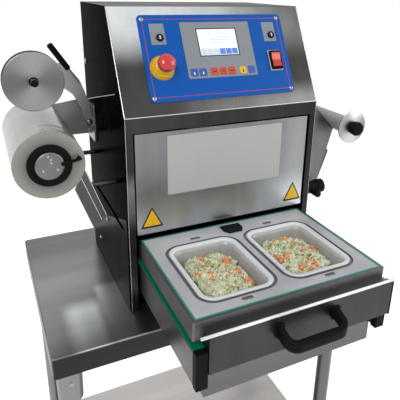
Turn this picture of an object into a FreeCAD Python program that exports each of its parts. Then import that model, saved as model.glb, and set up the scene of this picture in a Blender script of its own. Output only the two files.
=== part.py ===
import FreeCAD, Part
import math
import os
from FreeCAD import Vector

# A semi-automatic tray sealer standing on a stainless worktable.
# Machine coordinates while modelling: X runs across the front, Y from the front face of the
# cabinet to the back, Z up from the table top. Everything is moved to the floor at the end.

# Cabinet
cabinetWidth = 500.0
cabinetDepth = 392.0
headHeight = 488.0          # underside of the sloping control face
slopeDepth = 121.0
cabinetHeight = 713.0
sheet = 2.0
postWidth = 17.0
postDepth = 20.0
headBeamHeight = 33.0
panelBottom = 216.0         # lower edge of the front panel
panelGap = 4.5
panelRecess = 3.0
slotBottom = 204.0          # slot in each side where the film passes
slotHeight = 12.0
slotFront = 40.0
slotLength = 300.0
seatGap = 0.3
pressFront = 24.0
pressBack = 340.0
pressHalf = 215.0
plateThickness = 28.0
columnX = 150.0
columnInset = 60.0

# Drawer
drawerFront = 316.0         # how far the tub stands in front of the cabinet
tubHalfWidth = 203.0
tubBottom = 11.0
tubBack = 32.0
carrierHalfWidth = 226.0
carrierBottom = 149.0
carrierTop = 190.0
insertThickness = 8.0
carrierBack = 10.0
rimBand = 6.0
sealBand = 3.5
railWidth = 25.0
railBottom = 56.0
railTop = 130.0
stripThickness = 4.0
railTail = 60.0             # length of rail that stays in the cabinet
apronFace = 338.0
apronBottom = 84.0
apronTop = 165.0
apronRight = 232.0
handleWidth = 150.0
handleReach = 46.0
handleBar = 24.0
handleDrop = 18.0
handleHeight = 134.0

# Trays
trayLength = 210.0
trayWidth = 163.0
trayDepth = 46.0
trayRim = 7.0
trayRadius = 30.0
trayWall = 0.8
trayTaper = 13.0
foodDepth = 24.0
trayPitch = 199.0
trayCentre = 165.0          # distance of the tray centres in front of the cabinet

# Control face
faceLeft = 185.0
faceRight = 190.0
faceLow = 29.0
faceHigh = 233.0
facePlate = 2.0
bezelLeft = -86.0
bezelRight = 94.0
bezelLow = 78.0
bezelHigh = 214.0
windowLeft = -46.0
windowRight = 54.0
windowLow = 132.0
windowHigh = 196.0
keyUp = 92.0
keySize = 18.0
keyPlaces = (-71.0, -49.0, -20.0, 3.0, 26.0, 56.0, 79.0)
lampUp = 178.0
lampPlaces = (-139.0, 153.0)
stopX = -145.0
stopUp = 108.0
stopRadius = 20.0
stopStem = 10.0
stopTower = 22.0            # height of the collar above the slope
switchX = 151.0
switchUp = 112.0
switchHalfX = 15.0
switchHalfY = 23.0
pinRadius = 2.0

# Film reels
reelX = 405.0
reelZ = 396.0
reelRadius = 75.0
reelFront = 30.0
reelLength = 305.0
discX = 415.0
discZ = 564.0
discRadius = 61.5
discFront = 80.0
discLength = 200.0
spoolX = 380.0
spoolZ = 404.0
spoolRadius = 23.0
spoolDisc = 45.0
shaftRadius = 12.5
thinShaft = 8.0
runGap = 0.08               # running clearance on the shafts, per side
coreOuter = 46.0
coreInner = 31.0
armFront = 383.0
armThickness = 5.0
armLow = 352.0
armHigh = 455.0
armFlange = 90.0            # how far the flanges on the cabinet reach in front of the arms
armPlane = 297.0            # front of the cranked bar that carries the upper disc
armDepth = 6.0
armPivotX = 265.0
armPivotZ = 408.0
armBendX = 283.0
armBendZ = 512.0
armTipX = 351.0
armTipZ = 615.0
armRod = 4.0
sleeveRadius = 8.0
sleeveStart = 0.375         # share of the rod left bare below the sleeve
chuteFront = 60.0
chuteBack = 375.0
chuteRoot = 150.0           # where the plane of a chute's wall meets the cover plate
chuteFoot = 243.0
chuteTop = 365.0
chuteOuterTop = 321.0
chuteOuterFoot = 216.0
chuteSlope = 19.5
chuteDepth = 38.0

# Worktable
tableLeft = 453.0
tableRight = 372.0
tableFront = 84.0
tableBack = 477.0
tableEdge = 55.0
tableHeight = 860.0
legInset = 38.0
legRadius = 20.6
legWall = 1.5
socketRadius = 31.0
socketHeight = 118.0
channelDepth = 25.0
tableSheet = 1.5
shelfHeight = 190.0         # top of the undershelf above the floor
shelfEdge = 38.0
footHeight = 50.0

halfWidth = cabinetWidth / 2
slopeAngle = math.atan2(cabinetHeight - headHeight, slopeDepth)
handleMiddle = (apronRight - tubHalfWidth) / 2
openingHalf = halfWidth - postWidth
headLow = headHeight - headBeamHeight
socketTop = -tableSheet - channelDepth
plateLow = slotBottom + slotHeight + 8
plateHigh = plateLow + plateThickness
crossLow = headLow - 25
railOuter = tubHalfWidth + railWidth
railFront = drawerFront + 4
insertLow = carrierTop - insertThickness
bodyInset = trayRim + 0.6
pinUp = facePlate + 4.5


# Small helpers that make the usual forms
def box(x0, x1, y0, y1, z0, z1):
    return Part.makeBox(x1 - x0, y1 - y0, z1 - z0, Vector(x0, y0, z0))


def rod(x, y, z, radius, length, along=(0, 1, 0)):
    return Part.makeCylinder(radius, length, Vector(x, y, z), Vector(*along))


def ring(x, y, z, outer, inner, length, along=(0, 1, 0)):
    return rod(x, y, z, outer, length, along).cut(rod(x, y, z, inner, length, along))


def mirrored(shape):
    return shape.mirror(Vector(0, 0, 0), Vector(1, 0, 0))


def pair(shape):
    # a left piece and its mirror image on the right
    return Part.makeCompound([shape, mirrored(shape)])


def prism(points, vector):
    # a flat outline of 3D points pushed along a vector
    return Part.Face(Part.makePolygon(points + [points[0]])).extrude(vector)


def foldedOutline(points, thickness):
    # the outline of a bent sheet: the given line and its copy one thickness to the left, mitred
    inner = []
    for i, p in enumerate(points):
        before = points[i - 1] if i > 0 else None
        after = points[i + 1] if i + 1 < len(points) else None
        normals = []
        for a, b in ((before, p), (p, after)):
            if a is not None and b is not None:
                length = math.hypot(b[0] - a[0], b[1] - a[1])
                normals.append((-(b[1] - a[1]) / length, (b[0] - a[0]) / length))
        n0, n1 = normals[0], normals[-1]
        scale = thickness / (1 + n0[0] * n1[0] + n0[1] * n1[1])
        inner.append((p[0] + (n0[0] + n1[0]) * scale, p[1] + (n0[1] + n1[1]) * scale))
    return points + inner[::-1]


def roundedBox(x0, x1, y0, y1, z0, z1, radius):
    # a box with its four upright edges rounded
    solid = box(x0, x1, y0, y1, z0, z1)
    upright = [e for e in solid.Edges if abs(e.tangentAt(e.FirstParameter).z) > 0.99]
    return solid.makeFillet(radius, upright)


def onControlFace(shape):
    # local X runs across, Y up the slope from its lower edge, Z out of the face
    turn = FreeCAD.Rotation(Vector(1, 0, 0), math.degrees(slopeAngle))
    shape.Placement = FreeCAD.Placement(Vector(0, 0, headHeight), turn).multiply(shape.Placement)
    return shape


# Worktable
def legPlaces():
    xs = (-tableLeft + legInset, tableRight - legInset)
    ys = (-tableFront + legInset, tableBack - legInset)
    return [(x, y) for x in xs for y in ys]


def tableTop():
    wall = tableSheet
    pan = roundedBox(-tableLeft, tableRight, -tableFront, tableBack, -tableEdge, 0, 8)
    rim = [e for e in pan.Edges if all(abs(v.Z) < 1e-6 for v in e.Vertexes)]
    pan = pan.makeFillet(3, rim)
    inside = roundedBox(-tableLeft + wall, tableRight - wall, -tableFront + wall, tableBack - wall,
                        -tableEdge, -wall, 6.5)
    return pan.cut(inside)


def tableChannels():
    # two channels under the top that carry the leg sockets
    wall, depth, half = tableSheet, channelDepth, 35.0
    solids = []
    for y in (-tableFront + legInset, tableBack - legInset):
        outer = box(-tableLeft + 4, tableRight - 4, y - half, y + half, -wall - depth, -wall)
        inner = box(-tableLeft + 4, tableRight - 4, y - half + wall, y + half - wall,
                    -depth, -wall)
        solids.append(outer.cut(inner))
    return Part.makeCompound(solids)


def legSockets():
    solids = []
    for x, y in legPlaces():
        body = Part.makeCone(socketRadius - 3, socketRadius, socketHeight,
                             Vector(x, y, socketTop - socketHeight))
        bore = rod(x, y, socketTop - socketHeight, legRadius + 0.05, socketHeight - 4, (0, 0, 1))
        solids.append(body.cut(bore))
    return Part.makeCompound(solids)


def legs():
    solids = []
    low = footHeight - tableHeight
    for x, y in legPlaces():
        solids.append(ring(x, y, low, legRadius, legRadius - legWall, socketTop - 4 - low, (0, 0, 1)))
    return Part.makeCompound(solids)


def feet():
    # bullet feet: a plug in the leg, a collar and a rounded foot that screws out of it
    plug = legRadius - legWall - 0.05
    profile = [(0, 0), (13, 0), (17, 8), (17, footHeight - 22), (legRadius, footHeight - 16),
               (legRadius, footHeight), (plug, footHeight), (plug, footHeight + 20),
               (0, footHeight + 20)]
    outline = Part.makePolygon([Vector(r, 0, z) for r, z in profile + profile[:1]])
    foot = Part.Face(outline).revolve(Vector(0, 0, 0), Vector(0, 0, 1), 360)
    solids = []
    for x, y in legPlaces():
        copy = foot.copy()
        copy.translate(Vector(x, y, -tableHeight))
        solids.append(copy)
    return Part.makeCompound(solids)


def undershelf():
    # an inverted pan with its corners notched for the legs
    wall, reach = 1.2, 18.0
    notch = legRadius + seatGap
    top = shelfHeight - tableHeight
    x0, x1 = -tableLeft + legInset - reach, tableRight - legInset + reach
    y0, y1 = -tableFront + legInset - reach, tableBack - legInset + reach
    pan = box(x0, x1, y0, y1, top - shelfEdge, top)
    pan = pan.cut(box(x0 + wall, x1 - wall, y0 + wall, y1 - wall, top - shelfEdge, top - wall))
    for x, y in legPlaces():
        pan = pan.cut(box(x - notch, x + notch, y - notch, y + notch, top - shelfEdge - 1, top + 1))
    return pan


# Cabinet
def leftSide():
    # one bent sheet: side wall, front post with its return, and a flange at the back
    outer = -halfWidth
    outline = [(0, 0), (0, headHeight), (slopeDepth, cabinetHeight), (cabinetDepth, cabinetHeight),
               (cabinetDepth, 0)]
    wall = prism([Vector(outer, y, z) for y, z in outline], Vector(sheet, 0, 0))
    post = box(outer, -openingHalf, 0, sheet, 0, headLow)
    fold = box(-openingHalf - sheet, -openingHalf, 0, postDepth + sheet, 0, headLow)
    side = wall.fuse([post, fold]).removeSplitter()
    slot = box(outer - 1, outer + sheet + 1, slotFront, slotFront + slotLength,
               slotBottom, slotBottom + slotHeight)
    for y, z in ((133, 502), (255, 507)):
        slot = slot.fuse(box(outer - 1, outer + sheet + 1, y - 3, y + 3, z - 6, z + 6))
    return side.cut(slot)


def hood():
    # bent sheet: lip, head beam, sloping control face, top and a flange down the back
    line = [(postDepth, headLow), (0, headLow), (0, headHeight), (slopeDepth, cabinetHeight),
            (cabinetDepth, cabinetHeight), (cabinetDepth, cabinetHeight - 25)]
    outline = foldedOutline(line[::-1], sheet)
    half = halfWidth - sheet
    return prism([Vector(-half, y, z) for y, z in outline], Vector(2 * half, 0, 0))


def backPanel():
    half = halfWidth - sheet
    y0 = cabinetDepth - 2 * sheet
    panel = box(-half, half, y0, y0 + sheet, sheet, cabinetHeight - sheet)
    slot = None
    for column in (-1, 1):
        for row in range(6):
            z = cabinetHeight - 120 - 22 * row
            x = column * 110
            one = box(x - 55, x + 55, y0 - 1, cabinetDepth + 1, z - 3, z + 3)
            slot = one if slot is None else slot.fuse(one)
    return panel.cut(slot)


def basePlate():
    half = halfWidth - sheet
    return box(-half, half, sheet + postDepth, cabinetDepth - 2 * sheet, 0, sheet)


def frontPanel():
    # a shallow pan, open to the back
    half = openingHalf - panelGap
    top = headLow - panelGap
    deep = 14.0
    pan = box(-half, half, panelRecess, panelRecess + deep, panelBottom, top)
    hollow = box(-half + sheet, half - sheet, panelRecess + sheet, panelRecess + deep,
                 panelBottom + sheet, top - sheet)
    face = [e for e in pan.Edges if all(abs(v.Y - panelRecess) < 1e-6 for v in e.Vertexes)]
    return pan.makeFillet(1.2, face).cut(hollow)


def panelBrackets():
    # angles on the posts that carry the front panel
    y0 = panelRecess + 14.0
    outline = [Vector(-openingHalf, 8, 0), Vector(-openingHalf + sheet, 8, 0),
               Vector(-openingHalf + sheet, y0, 0), Vector(-openingHalf + 28, y0, 0),
               Vector(-openingHalf + 28, y0 + sheet, 0), Vector(-openingHalf, y0 + sheet, 0)]
    angle = prism(outline, Vector(0, 0, headLow - panelBottom - 8))
    angle.translate(Vector(0, 0, panelBottom + 4))
    return pair(angle)


def heatingPlate():
    return roundedBox(-pressHalf, pressHalf, pressFront, pressBack, plateLow, plateHigh, 10)


def pressColumns():
    return Part.makeCompound([rod(x, y, plateHigh, 14, crossLow - plateHigh, (0, 0, 1))
                              for x in (-columnX, columnX)
                              for y in (pressFront + columnInset, pressBack - columnInset)])


def pressFrame():
    half = halfWidth - sheet
    return box(-half, half, pressFront + 16, pressBack - 16, crossLow, crossLow + 12)


def drawerGuides():
    # channels on the cabinet sides that hold the tails of the drawer rails
    low = railBottom - seatGap
    high = railTop + stripThickness + seatGap
    outer = halfWidth - sheet
    inner = railOuter - 16
    y0, y1 = sheet + postDepth + 1, cabinetDepth - 2 * sheet - 2
    outline = [Vector(-outer, 0, low - sheet), Vector(-inner, 0, low - sheet),
               Vector(-inner, 0, low), Vector(-outer + sheet, 0, low),
               Vector(-outer + sheet, 0, high), Vector(-inner, 0, high),
               Vector(-inner, 0, high + sheet), Vector(-outer, 0, high + sheet)]
    guide = prism(outline, Vector(0, y1 - y0, 0))
    guide.translate(Vector(0, y0, 0))
    return pair(guide)


def lowerCovers():
    # cover plates low on both sides, cut away towards the back
    outline = [(12, 3), (12, 246), (258, chuteRoot), (cabinetDepth - 4, 40), (cabinetDepth - 4, 3)]
    plate = prism([Vector(-halfWidth - sheet, y, z) for y, z in outline], Vector(sheet, 0, 0))
    slot = box(-halfWidth - 2 * sheet, -halfWidth, slotFront, slotFront + slotLength,
               slotBottom, slotBottom + slotHeight)
    return pair(plate.cut(slot))


# Reels and what carries them
def reelArms():
    # a folded plate at the back of each side, with a flange on the cabinet wall
    def arm(sign, reach):
        wall = sign * halfWidth
        plate = [Vector(wall, armFront, armLow), Vector(wall, armFront, armHigh),
                 Vector(sign * reach, armFront, armHigh - 20),
                 Vector(sign * (reach + 25), armFront, armHigh - 50),
                 Vector(sign * reach, armFront, armLow)]
        solid = prism(plate, Vector(0, armThickness, 0))
        x0, x1 = sorted((wall, wall + sign * 4))
        flange = box(x0, x1, armFront - armFlange, armFront + armThickness, armLow, armHigh)
        return solid.fuse(flange).removeSplitter()
    return Part.makeCompound([arm(-1, reelX), arm(1, spoolX)])


def flatBar(x0, z0, x1, z1, width, y0, depth):
    # a bar with round ends in the plane of the front
    length = math.hypot(x1 - x0, z1 - z0)
    nx, nz = -(z1 - z0) / length * width / 2, (x1 - x0) / length * width / 2
    outline = [Vector(x0 + nx, y0, z0 + nz), Vector(x1 + nx, y0, z1 + nz),
               Vector(x1 - nx, y0, z1 - nz), Vector(x0 - nx, y0, z0 - nz)]
    bar = prism(outline, Vector(0, depth, 0))
    ends = [rod(x0, y0, z0, width / 2, depth), rod(x1, y0, z1, width / 2, depth)]
    return bar.fuse(ends).removeSplitter()


def discArm():
    # a bar on a lug of the left flange, cranked to the shaft of the upper disc, with a rod on top
    y0 = armPlane
    lug = box(-armPivotX, -halfWidth - 4, y0, y0 + armDepth, armPivotZ - 11, armPivotZ + 13)
    lower = flatBar(-armPivotX, armPivotZ, -armBendX, armBendZ, 20, y0, armDepth)
    link = flatBar(-armBendX, armBendZ, -discX, discZ, 26, y0, armDepth)
    run, rise = armBendX - armTipX, armTipZ - armBendZ
    tip = rod(-armBendX, y0 + armDepth / 2, armBendZ, armRod, math.hypot(run, rise), (run, 0, rise))
    return lug.fuse([lower, link, tip]).removeSplitter()


def armSleeve():
    # rubber grip over the upper part of the rod
    run, rise = armBendX - armTipX, armTipZ - armBendZ
    length = math.hypot(run, rise) * (1 - sleeveStart)
    return ring(-armBendX + run * sleeveStart, armPlane + armDepth / 2, armBendZ + rise * sleeveStart,
                sleeveRadius, armRod, length, (run, 0, rise))


def reelShafts():
    film = rod(-reelX, reelFront, reelZ, shaftRadius, armFront - reelFront)
    disc = rod(-discX, discFront - 16, discZ, thinShaft, armPlane - discFront + 16)
    spool = rod(spoolX, 2.5, spoolZ, thinShaft, armFront - 2.5)
    return Part.makeCompound([film, disc, spool])


def filmRoll():
    return ring(-reelX, reelFront, reelZ, reelRadius, coreOuter, reelLength)


def filmCore():
    return ring(-reelX, reelFront - 5, reelZ, coreOuter, coreInner, reelLength + 5)


def reelHub():
    # aluminium hub inside the core, running on the shaft, with a domed face
    hub = rod(-reelX, reelFront - 8, reelZ, coreInner, reelLength + 8)
    outer = [e for e in hub.Edges if abs(e.BoundBox.YMin - reelFront + 8) < 1e-6
             and e.BoundBox.XLength > coreInner]
    hub = hub.makeFillet(3, outer)
    return hub.cut(rod(-reelX, reelFront - 1, reelZ, shaftRadius + runGap, reelLength + 2))


def reelWing():
    # wing lever that locks the core on its hub
    y0 = reelFront - 13
    bar = flatBar(-reelX + coreInner - 6, reelZ + 2, -reelX + coreInner + 32, reelZ + 12, 9, y0, 5)
    tip = flatBar(-reelX + coreInner + 32, reelZ + 12, -reelX + coreInner + 36, reelZ + 22, 11, y0, 5)
    return bar.fuse(tip).removeSplitter()


def upperDisc():
    # two thin flanges on a sleeve, turning on the upper shaft
    bore = thinShaft + runGap
    front = ring(-discX, discFront, discZ, discRadius, bore, 3)
    rear = ring(-discX, discFront + 24, discZ, discRadius, bore, 3)
    sleeve = ring(-discX, discFront, discZ, 20, bore, discLength)
    return front.fuse([rear, sleeve]).removeSplitter()


def scrapSpool():
    return ring(spoolX, 6, spoolZ, spoolRadius, thinShaft + runGap, armFront - 12)


def spoolFlange():
    return ring(spoolX, 2, spoolZ, spoolDisc, thinShaft + runGap, 4)


def spoolKnob():
    # fluted knob in front of the flange
    knob = rod(spoolX, -24, spoolZ, 19, 26)
    for i in range(8):
        a = 2 * math.pi * i / 8
        knob = knob.cut(rod(spoolX + 21.5 * math.cos(a), -25, spoolZ + 21.5 * math.sin(a), 5, 18))
    return knob


def filmChutes():
    # slanted pans on two studs that lead the film between the reels and the slots
    lean = math.tan(math.radians(chuteSlope))
    across = chuteDepth / math.cos(math.radians(chuteSlope))
    thick = sheet / math.cos(math.radians(chuteSlope))
    foot = halfWidth + sheet

    def inner(z):
        return -foot - (z - chuteRoot) * lean

    outline = [(inner(chuteFoot), chuteFoot), (inner(chuteTop), chuteTop),
               (inner(chuteOuterTop) - across, chuteOuterTop),
               (inner(chuteOuterFoot) - across, chuteOuterFoot)]
    block = prism([Vector(x, chuteFront, z) for x, z in outline],
                  Vector(0, chuteBack - chuteFront, 0))
    low, high = chuteFoot - 60, chuteTop + 60
    hollow = [(inner(low) - thick, low), (inner(high) - thick, high),
              (inner(high) - 4 * across, high), (inner(low) - 4 * across, low)]
    inside = prism([Vector(x, chuteFront + sheet, z) for x, z in hollow],
                   Vector(0, chuteBack - chuteFront - 2 * sheet, 0))
    chute = block.cut(inside)
    for y in (chuteFront + 40, chuteBack - 40):
        z = chuteTop - 55
        reach = -inner(z) - halfWidth + thick / 2
        chute = chute.fuse(rod(-halfWidth, y, z, 6, reach, (-1, 0, 0)))
    return pair(chute)


def clampKnob():
    # black clamp low on the right side: a boss, a lever head and a small knob
    y, z = 22.0, 238.0
    x0 = halfWidth + sheet
    boss = rod(x0, y, z, 17, 36, (1, 0, 0))
    head = rod(x0 + 36, y, z, 19, 20, (1, 0, 0))
    boss = boss.fuse(head).removeSplitter()
    knob = rod(x0 + 22, y - 36, z - 8, 9, 30)
    return boss.fuse(knob).removeSplitter()


# Control face
def controlPlate():
    plate = roundedBox(-faceLeft, faceRight, faceLow, faceHigh, 0, facePlate, 10)
    stop = rod(stopX, stopUp, -1, 11, facePlate + 2, (0, 0, 1))
    return onControlFace(plate.cut(stop))


def displayBezel():
    bezel = roundedBox(bezelLeft, bezelRight, bezelLow, bezelHigh, facePlate, facePlate + 1.2, 2)
    window = box(windowLeft, windowRight, windowLow, windowHigh, facePlate - 1, facePlate + 3)
    return onControlFace(bezel.cut(window))


def displayGlass():
    return onControlFace(box(windowLeft, windowRight, windowLow, windowHigh,
                             facePlate, facePlate + 0.8))


def keypad():
    z = facePlate + 1.2
    half = keySize / 2
    return onControlFace(Part.makeCompound(
        [roundedBox(x - half, x + half, keyUp - half, keyUp + half, z, z + 1, 3)
         for x in keyPlaces]))


def indicatorLamps():
    solids = []
    for x in lampPlaces:
        nut = Part.makePolygon([Vector(x + 9 * math.cos(i * math.pi / 4 + 0.39),
                                       lampUp + 9 * math.sin(i * math.pi / 4 + 0.39), facePlate)
                                for i in range(9)])
        solids.append(Part.Face(nut).extrude(Vector(0, 0, 4)))
    return onControlFace(Part.makeCompound(solids))


def stopBase():
    low = stopTower - 11
    collar = Part.makeCone(29, 25, low - facePlate, Vector(stopX, stopUp, facePlate))
    tower = rod(stopX, stopUp, low, 17, stopTower - low, (0, 0, 1))
    bore = rod(stopX, stopUp, facePlate, stopStem + runGap, 30, (0, 0, 1))
    return onControlFace(collar.fuse(tower).cut(bore))


def stopButton():
    # mushroom head on a stem that runs in the collar, turned from one profile
    z = stopTower + 6
    profile = [(0, z - 19), (stopStem, z - 19), (stopStem, z), (stopRadius - 3, z),
               (stopRadius, z + 3), (stopRadius, z + 8), (stopRadius * 0.93, z + 12.5),
               (stopRadius * 0.76, z + 16), (stopRadius * 0.5, z + 18.6),
               (stopRadius * 0.22, z + 19.8), (0, z + 20)]
    outline = Part.makePolygon([Vector(r, 0, h) for r, h in profile + profile[:1]])
    head = Part.Face(outline).revolve(Vector(0, 0, 0), Vector(0, 0, 1), 360)
    head.translate(Vector(stopX, stopUp, 0))
    return onControlFace(head)


def switchBezel():
    frame = roundedBox(switchX - switchHalfX, switchX + switchHalfX, switchUp - switchHalfY,
                       switchUp + switchHalfY, facePlate, facePlate + 7, 1.5)
    well = box(switchX - switchHalfX + 3, switchX + switchHalfX - 3, switchUp - switchHalfY + 3,
               switchUp + switchHalfY - 3, facePlate, facePlate + 8)
    pin = rod(switchX - switchHalfX + 2, switchUp, pinUp, pinRadius, 2 * switchHalfX - 4, (1, 0, 0))
    return onControlFace(frame.cut(well).fuse(pin))


def powerRocker():
    # rocker on the cross pin of its frame, its face a shallow V; heights are from the pin
    half = switchHalfX - 3 - 0.4
    reach = switchHalfY - 3 - 1.2
    outline = [(-reach, 1.0), (-reach + 1, 5.0), (0, 3.0), (reach - 1, 5.0), (reach, 1.0),
               (5, -2.9), (-5, -2.9)]
    solid = prism([Vector(switchX - half, switchUp + y, pinUp + z) for y, z in outline],
                  Vector(2 * half, 0, 0))
    return onControlFace(solid.cut(rod(switchX - half - 1, switchUp, pinUp, pinRadius + 0.06,
                                       2 * half + 2, (1, 0, 0))))


def cableGland():
    y0 = cabinetDepth - sheet
    nut = ring(170, y0, 60, 13, 5, 10)
    dome = Part.makeCone(11, 7, 14, Vector(170, y0 + 10, 60), Vector(0, 1, 0))
    return nut.fuse(dome.cut(rod(170, y0, 60, 5, 30)))


# Drawer
def drawerTub():
    outer = box(-tubHalfWidth, tubHalfWidth, -drawerFront, tubBack, tubBottom, carrierBottom)
    inner = box(-tubHalfWidth + sheet, tubHalfWidth - sheet, -drawerFront + sheet,
                tubBack - sheet, tubBottom + sheet, carrierBottom)
    return outer.cut(inner)


def trayOutline(grow, z0, z1, side):
    # the plan of a tray, larger by grow on every side, between two heights
    x = side * trayPitch / 2
    halfX, halfY = trayWidth / 2 + grow, trayLength / 2 + grow
    return roundedBox(x - halfX, x + halfX, -trayCentre - halfY, -trayCentre + halfY, z0, z1,
                      trayRadius + grow)


def trayCarrier():
    block = box(-carrierHalfWidth, carrierHalfWidth, -drawerFront, carrierBack,
                carrierBottom, carrierTop)
    upright = [e for e in block.Edges if abs(e.tangentAt(e.FirstParameter).z) > 0.99]
    block = block.makeFillet(4, upright)
    seat = box(-carrierHalfWidth + rimBand, carrierHalfWidth - rimBand, -drawerFront + rimBand,
               carrierBack - rimBand, insertLow, carrierTop)
    block = block.cut(seat)
    for side in (-1, 1):
        block = block.cut(trayOutline(-trayRim + 1, carrierBottom, insertLow, side))
    return block


def carrierSeal():
    outer = box(-carrierHalfWidth + rimBand, carrierHalfWidth - rimBand, -drawerFront + rimBand,
                carrierBack - rimBand, insertLow, carrierTop + 0.5)
    inset = rimBand + sealBand
    inner = box(-carrierHalfWidth + inset, carrierHalfWidth - inset, -drawerFront + inset,
                carrierBack - inset, insertLow, carrierTop + 0.5)
    return outer.cut(inner)


def mouldInsert():
    inset = rimBand + sealBand
    plate = box(-carrierHalfWidth + inset, carrierHalfWidth - inset, -drawerFront + inset,
                carrierBack - inset, insertLow, carrierTop)
    for side in (-1, 1):
        plate = plate.cut(trayOutline(-trayRim + 1, insertLow, carrierTop, side))
        groove = trayOutline(11, carrierTop - 4, carrierTop, side)
        groove = groove.cut(trayOutline(4, carrierTop - 4, carrierTop, side))
        plate = plate.cut(groove)
        for y in (-trayCentre - trayLength / 2 - 19.0, -trayCentre + trayLength / 2 + 25.0):
            x = side * trayPitch / 2
            pocket = box(x - 8, x + 8, y - 5, y + 5, carrierTop - 3, carrierTop)
            pocket = pocket.fuse([rod(x - 8, y, carrierTop - 3, 5, 3, (0, 0, 1)),
                                  rod(x + 8, y, carrierTop - 3, 5, 3, (0, 0, 1))])
            plate = plate.cut(pocket)
    return plate


def sensorPlate():
    # small dark plate with clipped corners behind the trays
    y0, y1 = carrierBack - 58.0, carrierBack - 20.0
    outline = [(-26, y1), (26, y1), (26, y0 + 14), (17, y0), (-17, y0), (-26, y0 + 14)]
    plate = prism([Vector(x + 4, y, carrierTop) for x, y in outline], Vector(0, 0, 3))
    return plate


def trayBody(inset, taper, z0, z1, side):
    # tapered tub with rounded corners between two heights
    x = side * trayPitch / 2
    wires = []
    for z, more in ((z1, 0), (z0, taper)):
        hx = trayWidth / 2 - inset - more
        hy = trayLength / 2 - inset - more
        r = trayRadius - trayRim
        solid = roundedBox(x - hx, x + hx, -trayCentre - hy, -trayCentre + hy, z, z + 1, r)
        wires.append([f for f in solid.Faces if abs(f.CenterOfMass.z - z) < 1e-6][0].OuterWire)
    return Part.makeLoft(wires, True, True)


def tray(side):
    top = carrierTop
    low = top - trayDepth
    rim = trayOutline(0, top, top + 1.2, side)
    outer = trayBody(bodyInset, trayTaper, low, top + 1.2, side)
    inner = trayBody(bodyInset + trayWall, trayTaper, low + trayWall, top + 1.2, side)
    return rim.fuse(outer).cut(inner)


def foodFill():
    solids = []
    low = carrierTop - trayDepth + trayWall
    for side in (-1, 1):
        shape = trayBody(bodyInset + trayWall + 0.3, trayTaper, low, carrierTop + 1.2, side)
        x = side * trayPitch / 2
        keep = box(x - trayWidth, x + trayWidth, -trayCentre - trayLength, -trayCentre + trayLength,
                   low, low + foodDepth)
        solids.append(shape.common(keep))
    return Part.makeCompound(solids)


def drawerRails():
    wall = 2.0
    outer = box(-railOuter, -tubHalfWidth, -railFront, railTail, railBottom, railTop)
    inner = box(-railOuter + wall, -tubHalfWidth - wall, -railFront, railTail,
                railBottom + wall, railTop - wall)
    return pair(outer.cut(inner))


def glideStrips():
    return pair(box(-railOuter + 1, -tubHalfWidth - 1, -railFront, railTail,
                    railTop, railTop + stripThickness))


def railCaps():
    cap = roundedBox(-railOuter, -tubHalfWidth, -apronFace + sheet, -railFront,
                     railBottom - 4, railTop + stripThickness, 2)
    return pair(cap)


def apron():
    # bent sheet with returns at the ends and a rolled edge along the top
    x0, x1 = -tubHalfWidth, apronRight
    face = box(x0, x1, -apronFace, -apronFace + sheet, apronBottom, apronTop)
    left = box(x0, x0 + sheet, -apronFace, -drawerFront, apronBottom, apronTop)
    lip = box(x0, x1, -apronFace, -apronFace + 12, apronBottom, apronBottom + sheet)
    shelf = box(x0, x1, -apronFace, -drawerFront, apronTop - sheet, apronTop)
    shelf = shelf.cut(box(carrierHalfWidth, x1, -drawerFront - 6, 0, apronTop - sheet, apronTop))
    roll = rod(x0 - 16, -apronFace + 3.5, apronTop + 2, 3.5, x1 - x0 + 24, (1, 0, 0))
    solid = face.fuse([left, lip, shelf, roll]).removeSplitter()
    # room for the cap of the right rail behind the face
    return solid.cut(box(tubHalfWidth, railOuter, -apronFace + sheet, -drawerFront,
                         railBottom - 4, railTop + stripThickness))


def apronEnd():
    outline = [(-apronFace, apronBottom - 2), (-apronFace + 20, apronBottom - 2),
               (-apronFace + 20, apronBottom + 12), (-apronFace + 12, apronBottom + 26),
               (-apronFace + 12, apronTop - 1.5), (-apronFace, apronTop - 1.5)]
    return prism([Vector(apronRight, y, z) for y, z in outline], Vector(5, 0, 0))


def apronHandle():
    # a bail handle, rounded in plan and dipping towards the front
    half = handleWidth / 2
    reach = handleReach / math.cos(math.radians(handleDrop))
    outer = roundedBox(-half, half, -reach, 60, -handleBar / 2, handleBar / 2, 26)
    inner = roundedBox(-half + 16, half - 16, -reach + 15, 60, -handleBar, handleBar, 16)
    bail = outer.cut(inner)
    bail.rotate(Vector(0, 0, 0), Vector(1, 0, 0), handleDrop)
    bail.translate(Vector(handleMiddle, -apronFace, handleHeight))
    return bail.cut(box(-300, 300, -apronFace, 100, -200, 400))


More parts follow.
